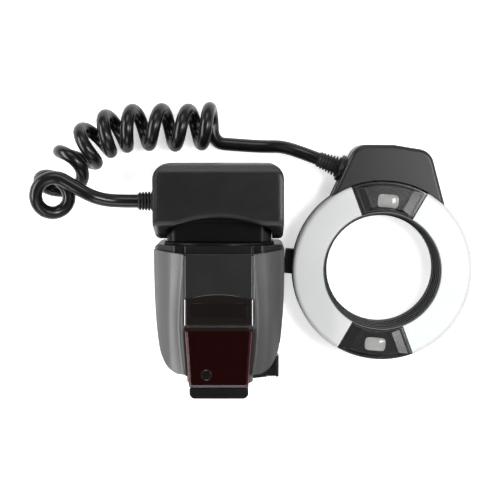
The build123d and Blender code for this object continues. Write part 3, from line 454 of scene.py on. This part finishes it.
def cordCurve(name, points, steps):
    data = bpy.data.curves.new(name, "CURVE")
    data.dimensions = "3D"
    data.resolution_u = steps
    data.bevel_depth = cord["diameter"] / 2 * mm
    data.bevel_resolution = cord["roundness"]
    data.use_fill_caps = True
    spline = data.splines.new("NURBS")
    spline.points.add(len(points) - 1)
    for knot, point in zip(spline.points, points):
        knot.co = (*(value * mm for value in point), 1)
    spline.order_u = cord["order"]
    spline.use_endpoint_u = True
    holder = bpy.data.objects.new(name, data)
    scene.collection.objects.link(holder)
    return holder


def asMesh(holder, name):
    bpy.context.view_layer.update()
    graph = bpy.context.evaluated_depsgraph_get()
    data = bpy.data.meshes.new_from_object(holder.evaluated_get(graph))
    data.name = name
    return data


def lineOf(holder):
    depth = holder.data.bevel_depth
    holder.data.bevel_depth = 0
    data = asMesh(holder, holder.name + "_line")
    holder.data.bevel_depth = depth
    return [vertex.co.copy() for vertex in data.vertices]


def makeCord():
    leadEnd = cord["leadTurns"]
    holder = cordCurve("lead_route", cord["leadPoints"] + curlRun(0, leadEnd), cord["leadSteps"])
    line = lineOf(holder)
    lead = finishPiece("curly_cord_lead", asMesh(holder, "curly_cord_lead"), "cord", None)
    bpy.data.objects.remove(holder)
    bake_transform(lead)
    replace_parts(lead, "cord_lead")
    onward = curlRun(leadEnd, cord["turns"]) + cord["exitPoints"] + cord["tailPoints"]
    curls = cordCurve("curly_cord", onward, cord["curlSteps"])
    curls.data.materials.append(finish["cord"])
    line = lineOf(curls)
    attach(curls, "unit")
    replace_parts(curls, "cord_coil", "cord_tail")


makeCord()
print("stage: cord")


# Cord boots: a ribbed profile of radius and height, spun round its own Z axis and then placed
boots = {
    "head": {"root": (-36.3, 114.4, 31.0), "length": 10.6, "base": 5.9, "tip": 5.3, "core": 4.4, "ribs": 6,
             "start": 0.0},
    "ring": {"root": (-26.0, 56.6, 12.4), "length": 13.0, "base": 6.3, "tip": 4.7, "core": 4.3, "ribs": 7,
             "start": 4.2, "swing": -17},
    "perRib": 12,
    "swellShare": 0.72,  # the rest of each rib's pitch is the groove
    "swellPower": 0.45,  # the lower, the squarer the rib
    "steps": 56,
}


def bootProfile(boot):
    pitch = boot["length"] / boot["ribs"]
    profile = [(boot["core"], boot["start"])]
    for i in range(boot["ribs"]):
        crest = boot["base"] + (boot["tip"] - boot["base"]) * i / (boot["ribs"] - 1)
        for k in range(boots["perRib"] + 1):
            share = k / boots["perRib"]
            bulge = math.sin(math.pi * min(share / boots["swellShare"], 1))
            swell = max(bulge, 0) ** boots["swellPower"]
            height = boot["start"] + (i + share) * pitch
            profile.append((boot["core"] + (crest - boot["core"]) * swell, height))
    return [(radius * mm, height * mm) for radius, height in profile]


def makeBoot(name, boot, place, body):
    steps = boots["steps"]
    profile = bootProfile(boot)
    points = []
    for radius, height in profile:
        for i in range(steps):
            angle = 2 * math.pi * i / steps
            points.append(place @ Vector((radius * math.cos(angle), radius * math.sin(angle), height)))
    faces = bandFaces(len(profile), steps)
    last = (len(profile) - 1) * steps
    faces += [tuple(range(steps))[::-1], tuple(range(last, last + steps))]
    return meshPiece(name, "rubber", points, faces, body)


def makeBoots():
    boot = boots["head"]
    place = Matrix.Translation(unitPoint(*boot["root"])) @ sideways
    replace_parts(makeBoot("head_cord_boot", boot, place, "head"), "head_boot")
    boot = boots["ring"]
    place = (ringFrame @ Matrix.Translation(Vector(boot["root"]) * mm)
             @ Matrix.Rotation(math.radians(boot["swing"]), 4, "Z") @ sideways)
    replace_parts(makeBoot("ring_cord_boot", boot, place, "unit"), "ring_boot")


# Thin raised prints: strokes of a set width, drawn on a plane by their end points
strokeFaces = ((3, 2, 1, 0), (4, 5, 6, 7), (0, 1, 5, 4), (1, 2, 6, 5), (2, 3, 7, 6), (3, 0, 4, 7))


def strokes(name, look, lines, width, height, place, body):
    points = []
    faces = []
    for (x0, y0), (x1, y1) in lines:
        along = Vector((x1 - x0, y1 - y0, 0))
        across = Vector((-along.y, along.x, 0)).normalized() * width / 2
        along = along.normalized() * width / 2
        ends = [Vector((x0, y0, 0)) - along, Vector((x1, y1, 0)) + along]
        base = len(points)
        for level in (0, height):
            for end, side in ((0, 1), (0, -1), (1, -1), (1, 1)):
                points.append(place @ ((ends[end] + across * side + Vector((0, 0, level))) * mm))
        faces += [tuple(base + i for i in face) for face in strokeFaces]
    return meshPiece(name, look, points, faces, body, smooth=False)


def circleLines(x, y, radius, count):
    angles = [math.radians(360.0 * i / count) for i in range(count + 1)]
    spots = [(x + radius * math.cos(a), y + radius * math.sin(a)) for a in angles]
    return list(zip(spots, spots[1:]))


prints = {
    "width": 0.32,
    "height": 0.04,
    "keyFace": 0.2,
    "displayFace": 0.8,
    "panelFace": 0.6,
    "digits": (("1", -16.0), ("2", -8.4), ("8", -0.8), ("4", 8.8)),
    "digitBase": 64.0,
    "digitWidth": 4.6,
    "digitTall": 8.4,
    "displayBold": 2,
    "displayLines": [((-19, 60.0), (19, 60.0)), ((6.4, 64.5), (6.4, 71.8))],
    "ticks": {"first": -18, "step": 3, "count": 13, "low": 58.4, "high": 59.2},
    "panelFine": 0.7,
    "switchMarks": [((9.6, 25.0), (9.6, 26.0))] + circleLines(22.4, 25.5, 0.5, 18),
    "panelLines": [((-24.6, 52.9), (24.6, 52.9)), ((-15.4, 33.6), (-15.4, 43.6)),
                   ((15.4, 33.6), (15.4, 43.6))],
    "slotShade": {"line": ((11.0, 29.6), (21.2, 29.6)), "width": 5.4, "low": 4.15, "thick": 0.15},
}
keyMarks = {
    "mode_key": [((-21.6, 47.8), (-18.4, 47.8)), ((-20.6, 48.6), (-18.4, 48.6)),
                 ((-21.6, 49.4), (-18.4, 49.4))],
    "sync_key": [((-8.6, 48.6), (-5.4, 48.6)), ((-7.8, 49.5), (-8.6, 48.6)), ((-7.8, 47.7), (-8.6, 48.6))],
    "ratio_key": [((5.4, 47.7), (5.4, 49.5)), ((8.6, 47.7), (8.6, 49.5)), ((6.9, 48.1), (7.1, 48.1)),
                  ((6.9, 49.1), (7.1, 49.1))],
    "lamp_key": (circleLines(20.0, 48.6, 1.0, 20)
                 + [((18.0, 48.6), (18.4, 48.6)), ((21.6, 48.6), (22.0, 48.6))]),
    "minus_key": [((-11.9, 38.6), (-9.1, 38.6))],
    "plus_key": [((9.1, 38.6), (11.9, 38.6)), ((10.5, 37.2), (10.5, 40.0))],
    "set_key": circleLines(0.0, 38.6, 1.7, 28),
    "test_key": [((-19.4, 31.3), (-19.1, 29.6)), ((-19.1, 29.6), (-20.8, 29.8)),
                 ((-20.8, 29.8), (-20.4, 27.9))],
}
segments = {
    "top": ((0, 1), (1, 1)), "high_left": ((0, 0.5), (0, 1)), "high_right": ((1, 0.5), (1, 1)),
    "middle": ((0, 0.5), (1, 0.5)), "low_left": ((0, 0), (0, 0.5)), "low_right": ((1, 0), (1, 0.5)),
    "bottom": ((0, 0), (1, 0))}
digitParts = {
    "1": ("high_right", "low_right"),
    "2": ("top", "high_right", "middle", "low_left", "bottom"),
    "4": ("high_left", "high_right", "middle", "low_right"),
    "8": tuple(segments)}


def digitLines(character, x):
    y, width, tall = prints["digitBase"], prints["digitWidth"], prints["digitTall"]
    lines = []
    for part in digitParts[character]:
        (x0, y0), (x1, y1) = segments[part]
        lines.append(((x + x0 * width, y + y0 * tall), (x + x1 * width, y + y1 * tall)))
    return lines


def backPlace(height):
    return unitFrame @ Matrix.Translation((0, 0, height * mm))


def makeKeyMarks():
    place = backPlace(prints["keyFace"] - prints["height"])
    for key, lines in keyMarks.items():
        strokes(key + "_mark", "white", lines, prints["width"], prints["height"], place, key)


def makeDisplay():
    # Mirrored, because the display is read from the back
    place = backPlace(prints["displayFace"] - prints["height"]) @ Matrix.Scale(-1, 4, (1, 0, 0))
    lines = []
    for character, x in prints["digits"]:
        lines += digitLines(character, x)
    lines += prints["displayLines"]
    ticks = prints["ticks"]
    for i in range(ticks["count"]):
        x = ticks["first"] + ticks["step"] * i
        lines.append(((x, ticks["low"]), (x, ticks["high"])))
    width = prints["width"] * prints["displayBold"]
    strokes("display_segments", "dim", lines, width, prints["height"], place, "unit")


def makePanelPrints():
    place = backPlace(prints["panelFace"] - prints["height"])
    lines = prints["switchMarks"] + prints["panelLines"]
    width = prints["width"] * prints["panelFine"]
    strokes("panel_lines", "white", lines, width, prints["height"], place, "unit")
    shade = prints["slotShade"]
    place = backPlace(shade["low"])
    strokes("switch_slot_shade", "chin", [shade["line"]], shade["width"], shade["thick"], place, "unit")


# Thin lines that run along edges: round wire bent on a path. Some are seams; the others are painted
# highlights and painted shade along edges
wireRoundness = 2


def edgeWire(name, look, points, radius, body, closed=False):
    data = bpy.data.curves.new(name, "CURVE")
    data.dimensions = "3D"
    data.bevel_depth = radius * mm
    data.bevel_resolution = wireRoundness
    data.use_fill_caps = not closed
    spline = data.splines.new("POLY")
    spline.points.add(len(points) - 1)
    for knot, point in zip(spline.points, points):
        knot.co = (*point, 1)
    spline.use_cyclic_u = closed
    holder = bpy.data.objects.new(name + "_path", data)
    scene.collection.objects.link(holder)
    mesh = asMesh(holder, name)
    bpy.data.objects.remove(holder)
    return finishPiece(name, mesh, look, body)


# Lines on the ring head: name, look, radius, height, count of points, first and last angle, wire and slot
ringLines = [
    # the grey line on the bore's rim is a painted highlight on that edge
    ("bore_rim_line", "seamAndPaintedEdge", 34.25, 25.45, 160, 0, 360, 0.16, "diffuser"),
    ("ring_shadow_rim", "ring", 52.05, 13.6, 120, 98, 262, 0.55, "black_plastic"),
    # the grey lines on the arcs' outer rims are painted shade where their rounded edges turn away
    ("left_arc_rim_line", "seamAndPaintedEdge", 52.1, 22.9, 100, 116.5, 243.5, 0.3, "diffuser"),
    ("right_arc_rim_line", "seamAndPaintedEdge", 52.1, 22.9, 100, -63.5, 63.5, 0.3, "diffuser"),
    ("ring_seam_line", "seamAndPaintedEdge", 52.12, 12.5, 200, 0, 360, 0.16, "black_plastic"),
]
columnLines = {
    # the pale wires on the upper window's side edges are painted highlights; the grey ones beside the fascia
    # are seams
    "window": {"look": "rim", "x": 18.9, "low": 46.2, "high": 60.6, "z": 59.75, "wire": 0.2,
               "slot": "gloss_black"},
    "fascia": {"look": "seamAndPaintedEdge", "x": 18.62, "low": 61.4, "high": 85.0, "z": 58.95, "wire": 0.15,
               "slot": "black_plastic"},
}
# Red wires round the red window's lower corners and up its sides: painted highlights on its rims
redEdge = {"lowX": 14.5, "lowY": 13.7, "bend": 1.8, "steps": 8, "highX": 18.3, "highY": 43.0, "z": 61.3,
           "wire": 0.42}


def makeRingLines():
    for name, look, radius, height, count, first, last, wire, slot in ringLines:
        closed = last - first == 360
        spots = []
        for i in range(count):
            angle = math.radians(first + (last - first) * i / (count if closed else count - 1))
            spots.append(ringPoint(radius * math.cos(angle), radius * math.sin(angle), height))
        edgeWire(name, look, spots, wire, "unit", closed)


def makeColumnLines():
    for side, word in ((-1, "left"), (1, "right")):
        for kind, line in columnLines.items():
            x = side * line["x"]
            path = [unitPoint(x, line["low"], line["z"]), unitPoint(x, line["high"], line["z"])]
            edgeWire(word + "_" + kind + "_edge", line["look"], path, line["wire"], "unit")
        path = []
        for i in range(redEdge["steps"] + 1):
            turn = math.radians(-90 + side * 90 * i / redEdge["steps"])
            x = side * redEdge["lowX"] + redEdge["bend"] * math.cos(turn)
            path.append(unitPoint(x, redEdge["lowY"] + redEdge["bend"] * math.sin(turn), redEdge["z"]))
        path.append(unitPoint(side * redEdge["highX"], redEdge["highY"], redEdge["z"]))
        edgeWire(word + "_red_edge_highlight", "redEdgeHighlight", path, redEdge["wire"], "unit")


# A flat mark on the door's sloping outer face, placed by its middle
doorMark = {"place": (-34.83, 36.2, 22.7), "slope": 6.1, "half": 2.6, "tall": 3.4, "bar": 1.2,
            "height": 0.05}


def makeDoorMark():
    mark = doorMark
    place = (unitFrame @ Matrix.Translation(Vector(mark["place"]) * mm)
             @ Matrix.Rotation(math.radians(-mark["slope"]), 4, "Z") @ sideways)
    half, top = mark["half"], mark["tall"] / 2
    tip, left, right = (0, -top), (-half, top), (half, top)
    bar = top + mark["bar"]
    lines = [(left, tip), (tip, right), (right, left), ((-half, bar), (half, bar))]
    strokes("door_arrow", "white", lines, prints["width"], mark["height"], place, "battery_door")


# Low lens on a block's outline with rounded corners: rows of points that shrink and rise towards the middle
lensShape = {"widePower": 0.4, "tallPower": 0.6, "rows": 14, "steps": 72}


def roundedLens(name, look, half, rise, power, place):
    rows, steps = lensShape["rows"], lensShape["steps"]
    points = []
    for row in range(rows):
        share = math.cos(math.pi / 2 * row / rows)
        height = rise * (1 - share ** power)
        for i in range(steps):
            angle = 2 * math.pi * i / steps
            cosine, sine = math.cos(angle), math.sin(angle)
            x = math.copysign(abs(cosine) ** lensShape["widePower"], cosine) * half[0] * share
            y = math.copysign(abs(sine) ** lensShape["tallPower"], sine) * half[1] * share
            points.append(place @ (Vector((x, y, height)) * mm))
    points.append(place @ (Vector((0, 0, rise)) * mm))
    faces = bandFaces(rows, steps)
    last = (rows - 1) * steps
    faces += [(last + i, last + (i + 1) % steps, rows * steps) for i in range(steps)]
    faces.append(tuple(range(steps))[::-1])
    return meshPiece(name, look, points, faces, "unit")


# Flank skins: the grey sides sweep up to the black column as one curved sheet each, laid on the front shell
flanks = {
    "outline": [(17.2, 19.6), (18.2, 23.5), (20.3, 27.6), (24.0, 30.6), (30.0, 33.3), (38.0, 34.7),
                (48.0, 35.85), (60.0, 36.65), (74.0, 36.95), (88.2, 37.0)],
    "column": [(17.2, 17.0), (45.4, 18.9), (88.2, 18.9)],
    "crest": [(17.2, 19.0), (28.0, 20.6), (36.0, 21.4), (48.0, 21.9), (62.0, 21.2), (76.0, 19.9),
              (88.2, 19.4)],
    "crown": [(0.0, 58.4), (0.05, 58.1), (0.12, 57.2), (0.25, 55.9), (0.4, 54.75), (0.55, 52.9), (0.7, 50.2),
              (0.82, 47.6), (0.92, 44.6), (1.0, 41.6)],
    "outlineReach": 2.0,  # each table is evened out over its reach
    "columnReach": 3.0,
    "crestReach": 4.0,
    "crownReach": 0.04,
    "samples": 4,
    "half": 37.0,
    "leastWide": 0.5,
    "leastCrest": 0.4,
    "groove": 58.2,  # height beside the black column
    "lift": 0.9,  # of the crest over the crown
    "proud": 0.12,
    "thick": 0.7,
    "low": 18.4,
    "capSide": 87.6,
    "capMiddle": 85.7,
    "across": 40,
    "along": 60,
}


def between(table, value):
    for (x0, y0), (x1, y1) in zip(table, table[1:]):
        if value <= x1:
            share = (value - x0) / (x1 - x0)
            return y0 + (y1 - y0) * max(share, 0)
    return table[-1][1]


def smoothed(name, value):
    count = flanks["samples"]
    reach = flanks[name + "Reach"]
    spread = [between(flanks[name], value + reach * k / count) for k in range(-count, count + 1)]
    return sum(spread) / len(spread)


def flankPoint(side, u, v, level):
    made = flanks
    top = made["capMiddle"] + (made["capSide"] - made["capMiddle"]) * u
    y = made["low"] + (top - made["low"]) * v
    inner = smoothed("column", y)
    outer = max(smoothed("outline", y), inner + made["leastWide"])
    crest = max(smoothed("crest", y), inner + made["leastCrest"])
    x = inner + (outer - inner) * u + (made["proud"] if level == 0 else 0)
    if x < crest:
        rise = math.sin(math.pi / 2 * max(x - inner, 0) / (crest - inner))
        crestTop = made["crown"][0][1] + made["lift"]
        z = made["groove"] + (crestTop - made["groove"]) * rise
    else:
        share = (x - crest) / (made["half"] - crest)
        z = smoothed("crown", share) + made["lift"] * (1 - share) ** 2
    return unitPoint(side * x, y, z + level)


def makeFlank(name, side):
    across, along = flanks["across"], flanks["along"]
    points = [flankPoint(side, column / across, row / along, level)
              for level in (0, -flanks["thick"]) for row in range(along + 1) for column in range(across + 1)]
    rows = (along + 1) * (across + 1)
    faces = []
    for row in range(along):
        for column in range(across):
            a = row * (across + 1) + column
            b = a + across + 1
            faces.append((a, a + 1, b + 1, b))
            faces.append((rows + a, rows + b, rows + b + 1, rows + a + 1))
    border = ([column for column in range(across + 1)]
              + [row * (across + 1) + across for row in range(1, along + 1)]
              + [along * (across + 1) + column for column in range(across - 1, -1, -1)]
              + [row * (across + 1) for row in range(along - 1, 0, -1)])
    for a, b in zip(border, border[1:] + border[:1]):
        faces.append((a, rows + a, rows + b, b))
    return meshPiece(name, "flank", points, faces, "unit")


# Lenses on the black column: domes with a look, a place, half sizes, a rise and a power, and round wires
frontDomes = {
    "upper_inner_lens": ("lens", (0.0, 54.2, 59.84), (16.5, 4.6), 0.7, 2),
    "lamp_panel": ("rim", (0.0, 29.0, 57.9), (13.5, 12.0), 0.4, 3),
    "lamp_bulb": ("lens", (0.5, 27.4, 58.2), (5.4, 5.4), 1.6, 3),
    "lamp_pupil": ("lens", (-6.9, 18.9, 62.42), (2.5, 2.5), 0.2, 3),
    "sensor_eye": ("gloss", (-7.4, 18.9, 58.35), (1.9, 1.9), 0.5, 2),
}
sensorRim = {"place": (-6.9, 18.9, 62.45), "radius": 2.8, "wire": 0.4, "steps": 64}
lampRings = {"middle": (0.5, 27.4), "radii": (1.5, 2.9, 4.3), "heights": (60.05, 59.75, 59.05), "wire": 0.16,
             "steps": 48}


def unitCircle(x, y, z, radius, steps):
    angles = [2 * math.pi * k / steps for k in range(steps)]
    return [unitPoint(x + radius * math.cos(a), y + radius * math.sin(a), z) for a in angles]


def makeFrontLenses():
    for name, (look, place, half, rise, power) in frontDomes.items():
        place = Matrix.Translation(unitPoint(*place))
        roundedLens(name, look, half, rise, power, place)
    spots = unitCircle(*sensorRim["place"], sensorRim["radius"], sensorRim["steps"])
    edgeWire("sensor_eye_rim", "lens", spots, sensorRim["wire"], "unit", closed=True)
    for i, (radius, height) in enumerate(zip(lampRings["radii"], lampRings["heights"])):
        spots = unitCircle(*lampRings["middle"], height, radius, lampRings["steps"])
        name = "lamp_ring_" + str(i + 1)
        edgeWire(name, "rim", spots, lampRings["wire"], "unit", closed=True)


# Ring head's front: a flat ring under the arcs, and two blocks whose four slopes lead down to a lamp
ringPlate = {"inner": 34.45, "outer": 50.6, "low": 12.5, "top": 14.1, "steps": 128}
blocks = {
    "inner": 34.45,
    "outer": 52.15,
    "angle": 25.2,  # half of the wedge
    "low": 12.5,
    "top": 25.45,
    "round": 1.4,
    "lipShare": 0.5,
    "lipSteps": 10,
    "side": 2.5,  # where the flat rim ends
    "sideReach": 1.3,
    "facet": 7.3,  # where the upper slopes end
    "facetReach": 2.6,
    "facetDrop": 3.1,
    "floor": 22.3,  # height of the frame round the lamp
    "floorHalf": 7.2,
    "floorTall": 3.5,
    "windowHalf": 5.4,
    "windowTall": 3.4,
    "well": 14.6,
    "fold": 12,
    "steps": 18,
    "lamps": {"upper": 40.6, "lower": -43.6},
    "lensHalf": (6.3, 4.1),
    "lensRise": 1.0,
    "lensPower": 3,
    "lensSink": 0.1,
}


def straightSide(first, last):
    side = []
    for i in range(blocks["steps"] + 1):
        share = i / blocks["steps"]
        side.append((first[0] + (last[0] - first[0]) * share, first[1] + (last[1] - first[1]) * share))
    return side


def arcSide(first, last):
    radius = math.hypot(*first)
    side = []
    for i in range(blocks["steps"] + 1):
        share = i / blocks["steps"]
        turn = math.atan2(*first) * (1 - share) + math.atan2(*last) * share
        side.append((radius * math.sin(turn), radius * math.cos(turn)))
    return side


# Four sides between the ring's two radii: the straight ones are moved in by the inset, the arcs by the reach
def wedgeLoop(inset, reach):
    corners = []
    for radius in (blocks["inner"] + reach, blocks["outer"] - reach):
        turn = math.radians(blocks["angle"]) - math.asin(inset / radius)
        corners.append((radius * math.sin(turn), radius * math.cos(turn)))
    (inX, inY), (outX, outY) = corners
    inLeft, outLeft, outRight, inRight = (-inX, inY), (-outX, outY), (outX, outY), (inX, inY)
    return [straightSide(inLeft, outLeft), arcSide(outLeft, outRight), straightSide(outRight, inRight),
            arcSide(inRight, inLeft)]


def boxLoop(half, tall, middle):
    corners = [(-half, middle - tall), (-half, middle + tall), (half, middle + tall), (half, middle - tall)]
    return [straightSide(first, last) for first, last in zip(corners, corners[1:] + corners[:1])]


# From the foot of a block over its rounded lip, down its two rows of slopes and into the lamp's well
def blockLoops(middle):
    made = blocks
    whole = wedgeLoop(0, 0)
    loops = [(whole, made["low"]), (whole, made["top"] - made["round"])]
    for k in range(1, made["lipSteps"] + 1):
        turn = math.pi / 2 * k / made["lipSteps"]
        inset = made["round"] * (1 - math.cos(turn)) * made["lipShare"]
        loops.append((wedgeLoop(inset, inset), made["top"] - made["round"] * (1 - math.sin(turn))))
    window = boxLoop(made["windowHalf"], made["windowTall"], middle)
    loops += [(wedgeLoop(made["side"], made["sideReach"]), made["top"]),
              (wedgeLoop(made["facet"], made["facetReach"]), made["top"] - made["facetDrop"]),
              (boxLoop(made["floorHalf"], made["floorTall"], middle), made["floor"]),
              (window, made["floor"]), (window, made["well"])]
    return loops


def makeBlock(name, middle):
    steps = blocks["steps"]
    away = math.copysign(1, middle)
    loops = blockLoops(abs(middle))
    points = []
    faces = []

    def place(spots, height):
        points.extend(ringPoint(x, y * away, height) for x, y in spots)

    for (first, low), (last, high) in zip(loops, loops[1:]):
        for side in range(4):
            base = len(points)
            place(first[side], low)
            place(last[side], high)
            faces.extend((i, i + 1, i + steps + 2, i + steps + 1) for i in range(base, base + steps))
    for loop, height in (loops[0], loops[-1]):
        base = len(points)
        place([spot for side in loop for spot in side[:-1]], height)
        faces.append(tuple(range(base, len(points))))
    meshPiece(name, "blockface", points, faces, "unit", fold=math.radians(blocks["fold"]))


def makeRingPlate():
    made = ringPlate
    profile = [(made["inner"], made["low"]), (made["outer"], made["low"]),
               (made["outer"], made["top"]), (made["inner"], made["top"])]
    points = []
    for radius, height in profile:
        for i in range(made["steps"]):
            angle = 2 * math.pi * i / made["steps"]
            points.append(ringPoint(radius * math.cos(angle), radius * math.sin(angle), height))
    faces = bandFaces(len(profile), made["steps"], closed=True)
    plate = meshPiece("ring_front_plate", "ring", points, faces, "unit", smooth=False)
    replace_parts(plate, "ring_front_cover")


def makeLampBlocks():
    made = blocks
    for name, middle in made["lamps"].items():
        makeBlock(name + "_lamp_block", middle)
        place = ringFrame @ Matrix.Translation(Vector((0, middle, made["floor"] - made["lensSink"])) * mm)
        lens = roundedLens(name + "_lamp_lens", "frosted", made["lensHalf"], made["lensRise"],
                           made["lensPower"], place)
        if name == "upper":
            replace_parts(lens, "lamp_windows")


makeRingPlate()
makeLampBlocks()
print("stage: ring head's front")
makeBoots()
print("stage: boots")
makeKeyMarks()
makeDisplay()
makePanelPrints()
makeRingLines()
makeColumnLines()
makeDoorMark()
print("stage: prints and edge lines")
makeFrontLenses()
makeFlank("left_flank_skin", -1)
makeFlank("right_flank_skin", 1)
print("stage: lenses and flanks")


# Rows of small domes, set out by a node group on the points of a flat grid
domeShape = {"segments": 12, "rings": 8}


def domeGroup():
    group = bpy.data.node_groups.new("small_domes", "GeometryNodeTree")
    face = group.interface
    face.new_socket("Geometry", in_out="INPUT", socket_type="NodeSocketGeometry")
    sizeSocket = face.new_socket("Dome radius", in_out="INPUT", socket_type="NodeSocketFloat")
    riseSocket = face.new_socket("Dome height", in_out="INPUT", socket_type="NodeSocketFloat")
    lookSocket = face.new_socket("Material", in_out="INPUT", socket_type="NodeSocketMaterial")
    face.new_socket("Geometry", in_out="OUTPUT", socket_type="NodeSocketGeometry")
    start = group.nodes.new("NodeGroupInput")
    end = group.nodes.new("NodeGroupOutput")
    ball = group.nodes.new("GeometryNodeMeshUVSphere")
    ball.inputs["Segments"].default_value = domeShape["segments"]
    ball.inputs["Rings"].default_value = domeShape["rings"]
    size = group.nodes.new("ShaderNodeCombineXYZ")
    spread = group.nodes.new("GeometryNodeInstanceOnPoints")
    real = group.nodes.new("GeometryNodeRealizeInstances")
    paint = group.nodes.new("GeometryNodeSetMaterial")
    link = group.links.new
    link(start.outputs["Geometry"], spread.inputs["Points"])
    link(ball.outputs["Mesh"], spread.inputs["Instance"])
    for axis in ("X", "Y"):
        link(start.outputs["Dome radius"], size.inputs[axis])
    link(start.outputs["Dome height"], size.inputs["Z"])
    link(size.outputs[0], spread.inputs["Scale"])
    link(spread.outputs[0], real.inputs[0])
    link(real.outputs[0], paint.inputs["Geometry"])
    link(start.outputs["Material"], paint.inputs["Material"])
    link(paint.outputs[0], end.inputs[0])
    return group, (sizeSocket.identifier, riseSocket.identifier, lookSocket.identifier)


domes, domeInputs = domeGroup()


def domeRows(name, look, spots, radius, rise, body):
    data = bpy.data.meshes.new(name + "_points")
    data.from_pydata([tuple(spot) for spot in spots], [], [])
    holder = bpy.data.objects.new(name + "_points", data)
    scene.collection.objects.link(holder)
    modifier = holder.modifiers.new("domes", "NODES")
    modifier.node_group = domes
    for identifier, value in zip(domeInputs, (radius * mm, rise * mm, finish[look])):
        modifier[identifier] = value
    mesh = asMesh(holder, name)
    bpy.data.objects.remove(holder)
    return finishPiece(name, mesh, look, body)


leverDots = {"left": 22.6, "right": 33.4, "low": 10.6, "high": 14.6, "columns": 11, "rows": 5, "face": 15.2,
             "radius": 0.3, "rise": 0.22}


def makeLeverDots():
    made = leverDots
    spots = []
    for row in range(made["rows"]):
        for column in range(made["columns"]):
            x = made["left"] + (made["right"] - made["left"]) * column / (made["columns"] - 1)
            y = made["low"] + (made["high"] - made["low"]) * row / (made["rows"] - 1)
            spots.append(unitPoint(x, y, made["face"]))
    domeRows("lever_dots", "rubber", spots, made["radius"], made["rise"], "lock_lever")


makeLeverDots()
print("stage: lever dots")


# Table, light and sky, all in metres. A lamp has a name, a place, its width, its height and its power
studio = {
    "floorSize": 6.0,
    "floorGlow": 0.10,
    "floorSeen": 0.50,
    "lamps": [
        ("side", (0.50, 0.10, 1.15), 0.35, 0.35, 9.8),
        ("far", (-0.10, 1.05, 0.90), 0.6, 0.6, 4.8),
        ("left", (-1.15, 0.0, 0.68), 1.5, 0.45, 27.0),
        ("right", (1.15, 0.05, 0.75), 0.3, 0.9, 5.5),
        ("near", (0.0, -1.05, 0.80), 0.6, 0.6, 5.0),
    ],
    "aim": (0, 0, 0.02),
    "horizon": 0.36,
    "zenith": 0.08,
    "zenithFrom": 0.9,
    "rightward": 0.65,  # extra light from the right: grows over the first lean, ends over the second
    "leanFrom": (0.12, 0.45),
    "leanTo": (0.60, 0.78),
}


def makeFloor():
    data = bpy.data.meshes.new("table")
    half = studio["floorSize"] / 2
    corners = [(-half, -half, 0), (half, -half, 0), (half, half, 0), (-half, half, 0)]
    data.from_pydata(corners, [], [(0, 1, 2, 3)])
    table = bpy.data.objects.new("table", data)
    scene.collection.objects.link(table)
    graph = Graph("white_table")
    fibre = graph.noise(3.0)
    colour = graph.mix(graph.range(fibre, 0.0, 0.03), grey(0.95), grey(0.85))
    ray = graph.node("ShaderNodeLightPath")
    glow = graph.range(ray.outputs["Is Camera Ray"], studio["floorGlow"], studio["floorSeen"])
    graph.surface(Base_Color=colour, Roughness=0.9, Specular_IOR_Level=0.1, Emission_Color=(1, 1, 1, 1),
                  Emission_Strength=glow)
    data.materials.append(graph.material)


def makeLights():
    for name, place, wide, tall, power in studio["lamps"]:
        data = bpy.data.lights.new(name, "AREA")
        data.shape = "RECTANGLE"
        data.size = wide
        data.size_y = tall
        data.energy = power
        lamp = bpy.data.objects.new(name, data)
        lamp.location = place
        lamp.rotation_euler = (Vector(studio["aim"]) - Vector(place)).to_track_quat("-Z", "Y").to_euler()
        scene.collection.objects.link(lamp)


def makeSky():
    world = bpy.data.worlds.new("studio")
    scene.world = world
    world.use_nodes = True
    tree = world.node_tree
    tree.nodes.clear()
    output = tree.nodes.new("ShaderNodeOutputWorld")
    sky = tree.nodes.new("ShaderNodeBackground")
    place = tree.nodes.new("ShaderNodeTexCoord")
    split = tree.nodes.new("ShaderNodeSeparateXYZ")
    tree.links.new(place.outputs["Generated"], split.inputs[0])
    fade = tree.nodes.new("ShaderNodeMapRange")
    fade.inputs["From Max"].default_value = studio["zenithFrom"]
    fade.inputs["To Min"].default_value = studio["horizon"]
    fade.inputs["To Max"].default_value = studio["zenith"]
    tree.links.new(split.outputs["Z"], fade.inputs["Value"])
    total = fade.outputs[0]
    leans = ((studio["leanFrom"], studio["rightward"]), (studio["leanTo"], -studio["rightward"]))
    for (low, high), change in leans:
        lean = tree.nodes.new("ShaderNodeMapRange")
        lean.inputs["From Min"].default_value = low
        lean.inputs["From Max"].default_value = high
        lean.inputs["To Max"].default_value = change
        tree.links.new(split.outputs["X"], lean.inputs["Value"])
        both = tree.nodes.new("ShaderNodeMath")
        tree.links.new(total, both.inputs[0])
        tree.links.new(lean.outputs[0], both.inputs[1])
        total = both.outputs[0]
    tree.links.new(total, sky.inputs["Strength"])
    tree.links.new(sky.outputs[0], output.inputs["Surface"])


makeFloor()
makeLights()
makeSky()
scene.view_settings.view_transform = "Standard"
print("stage: light")
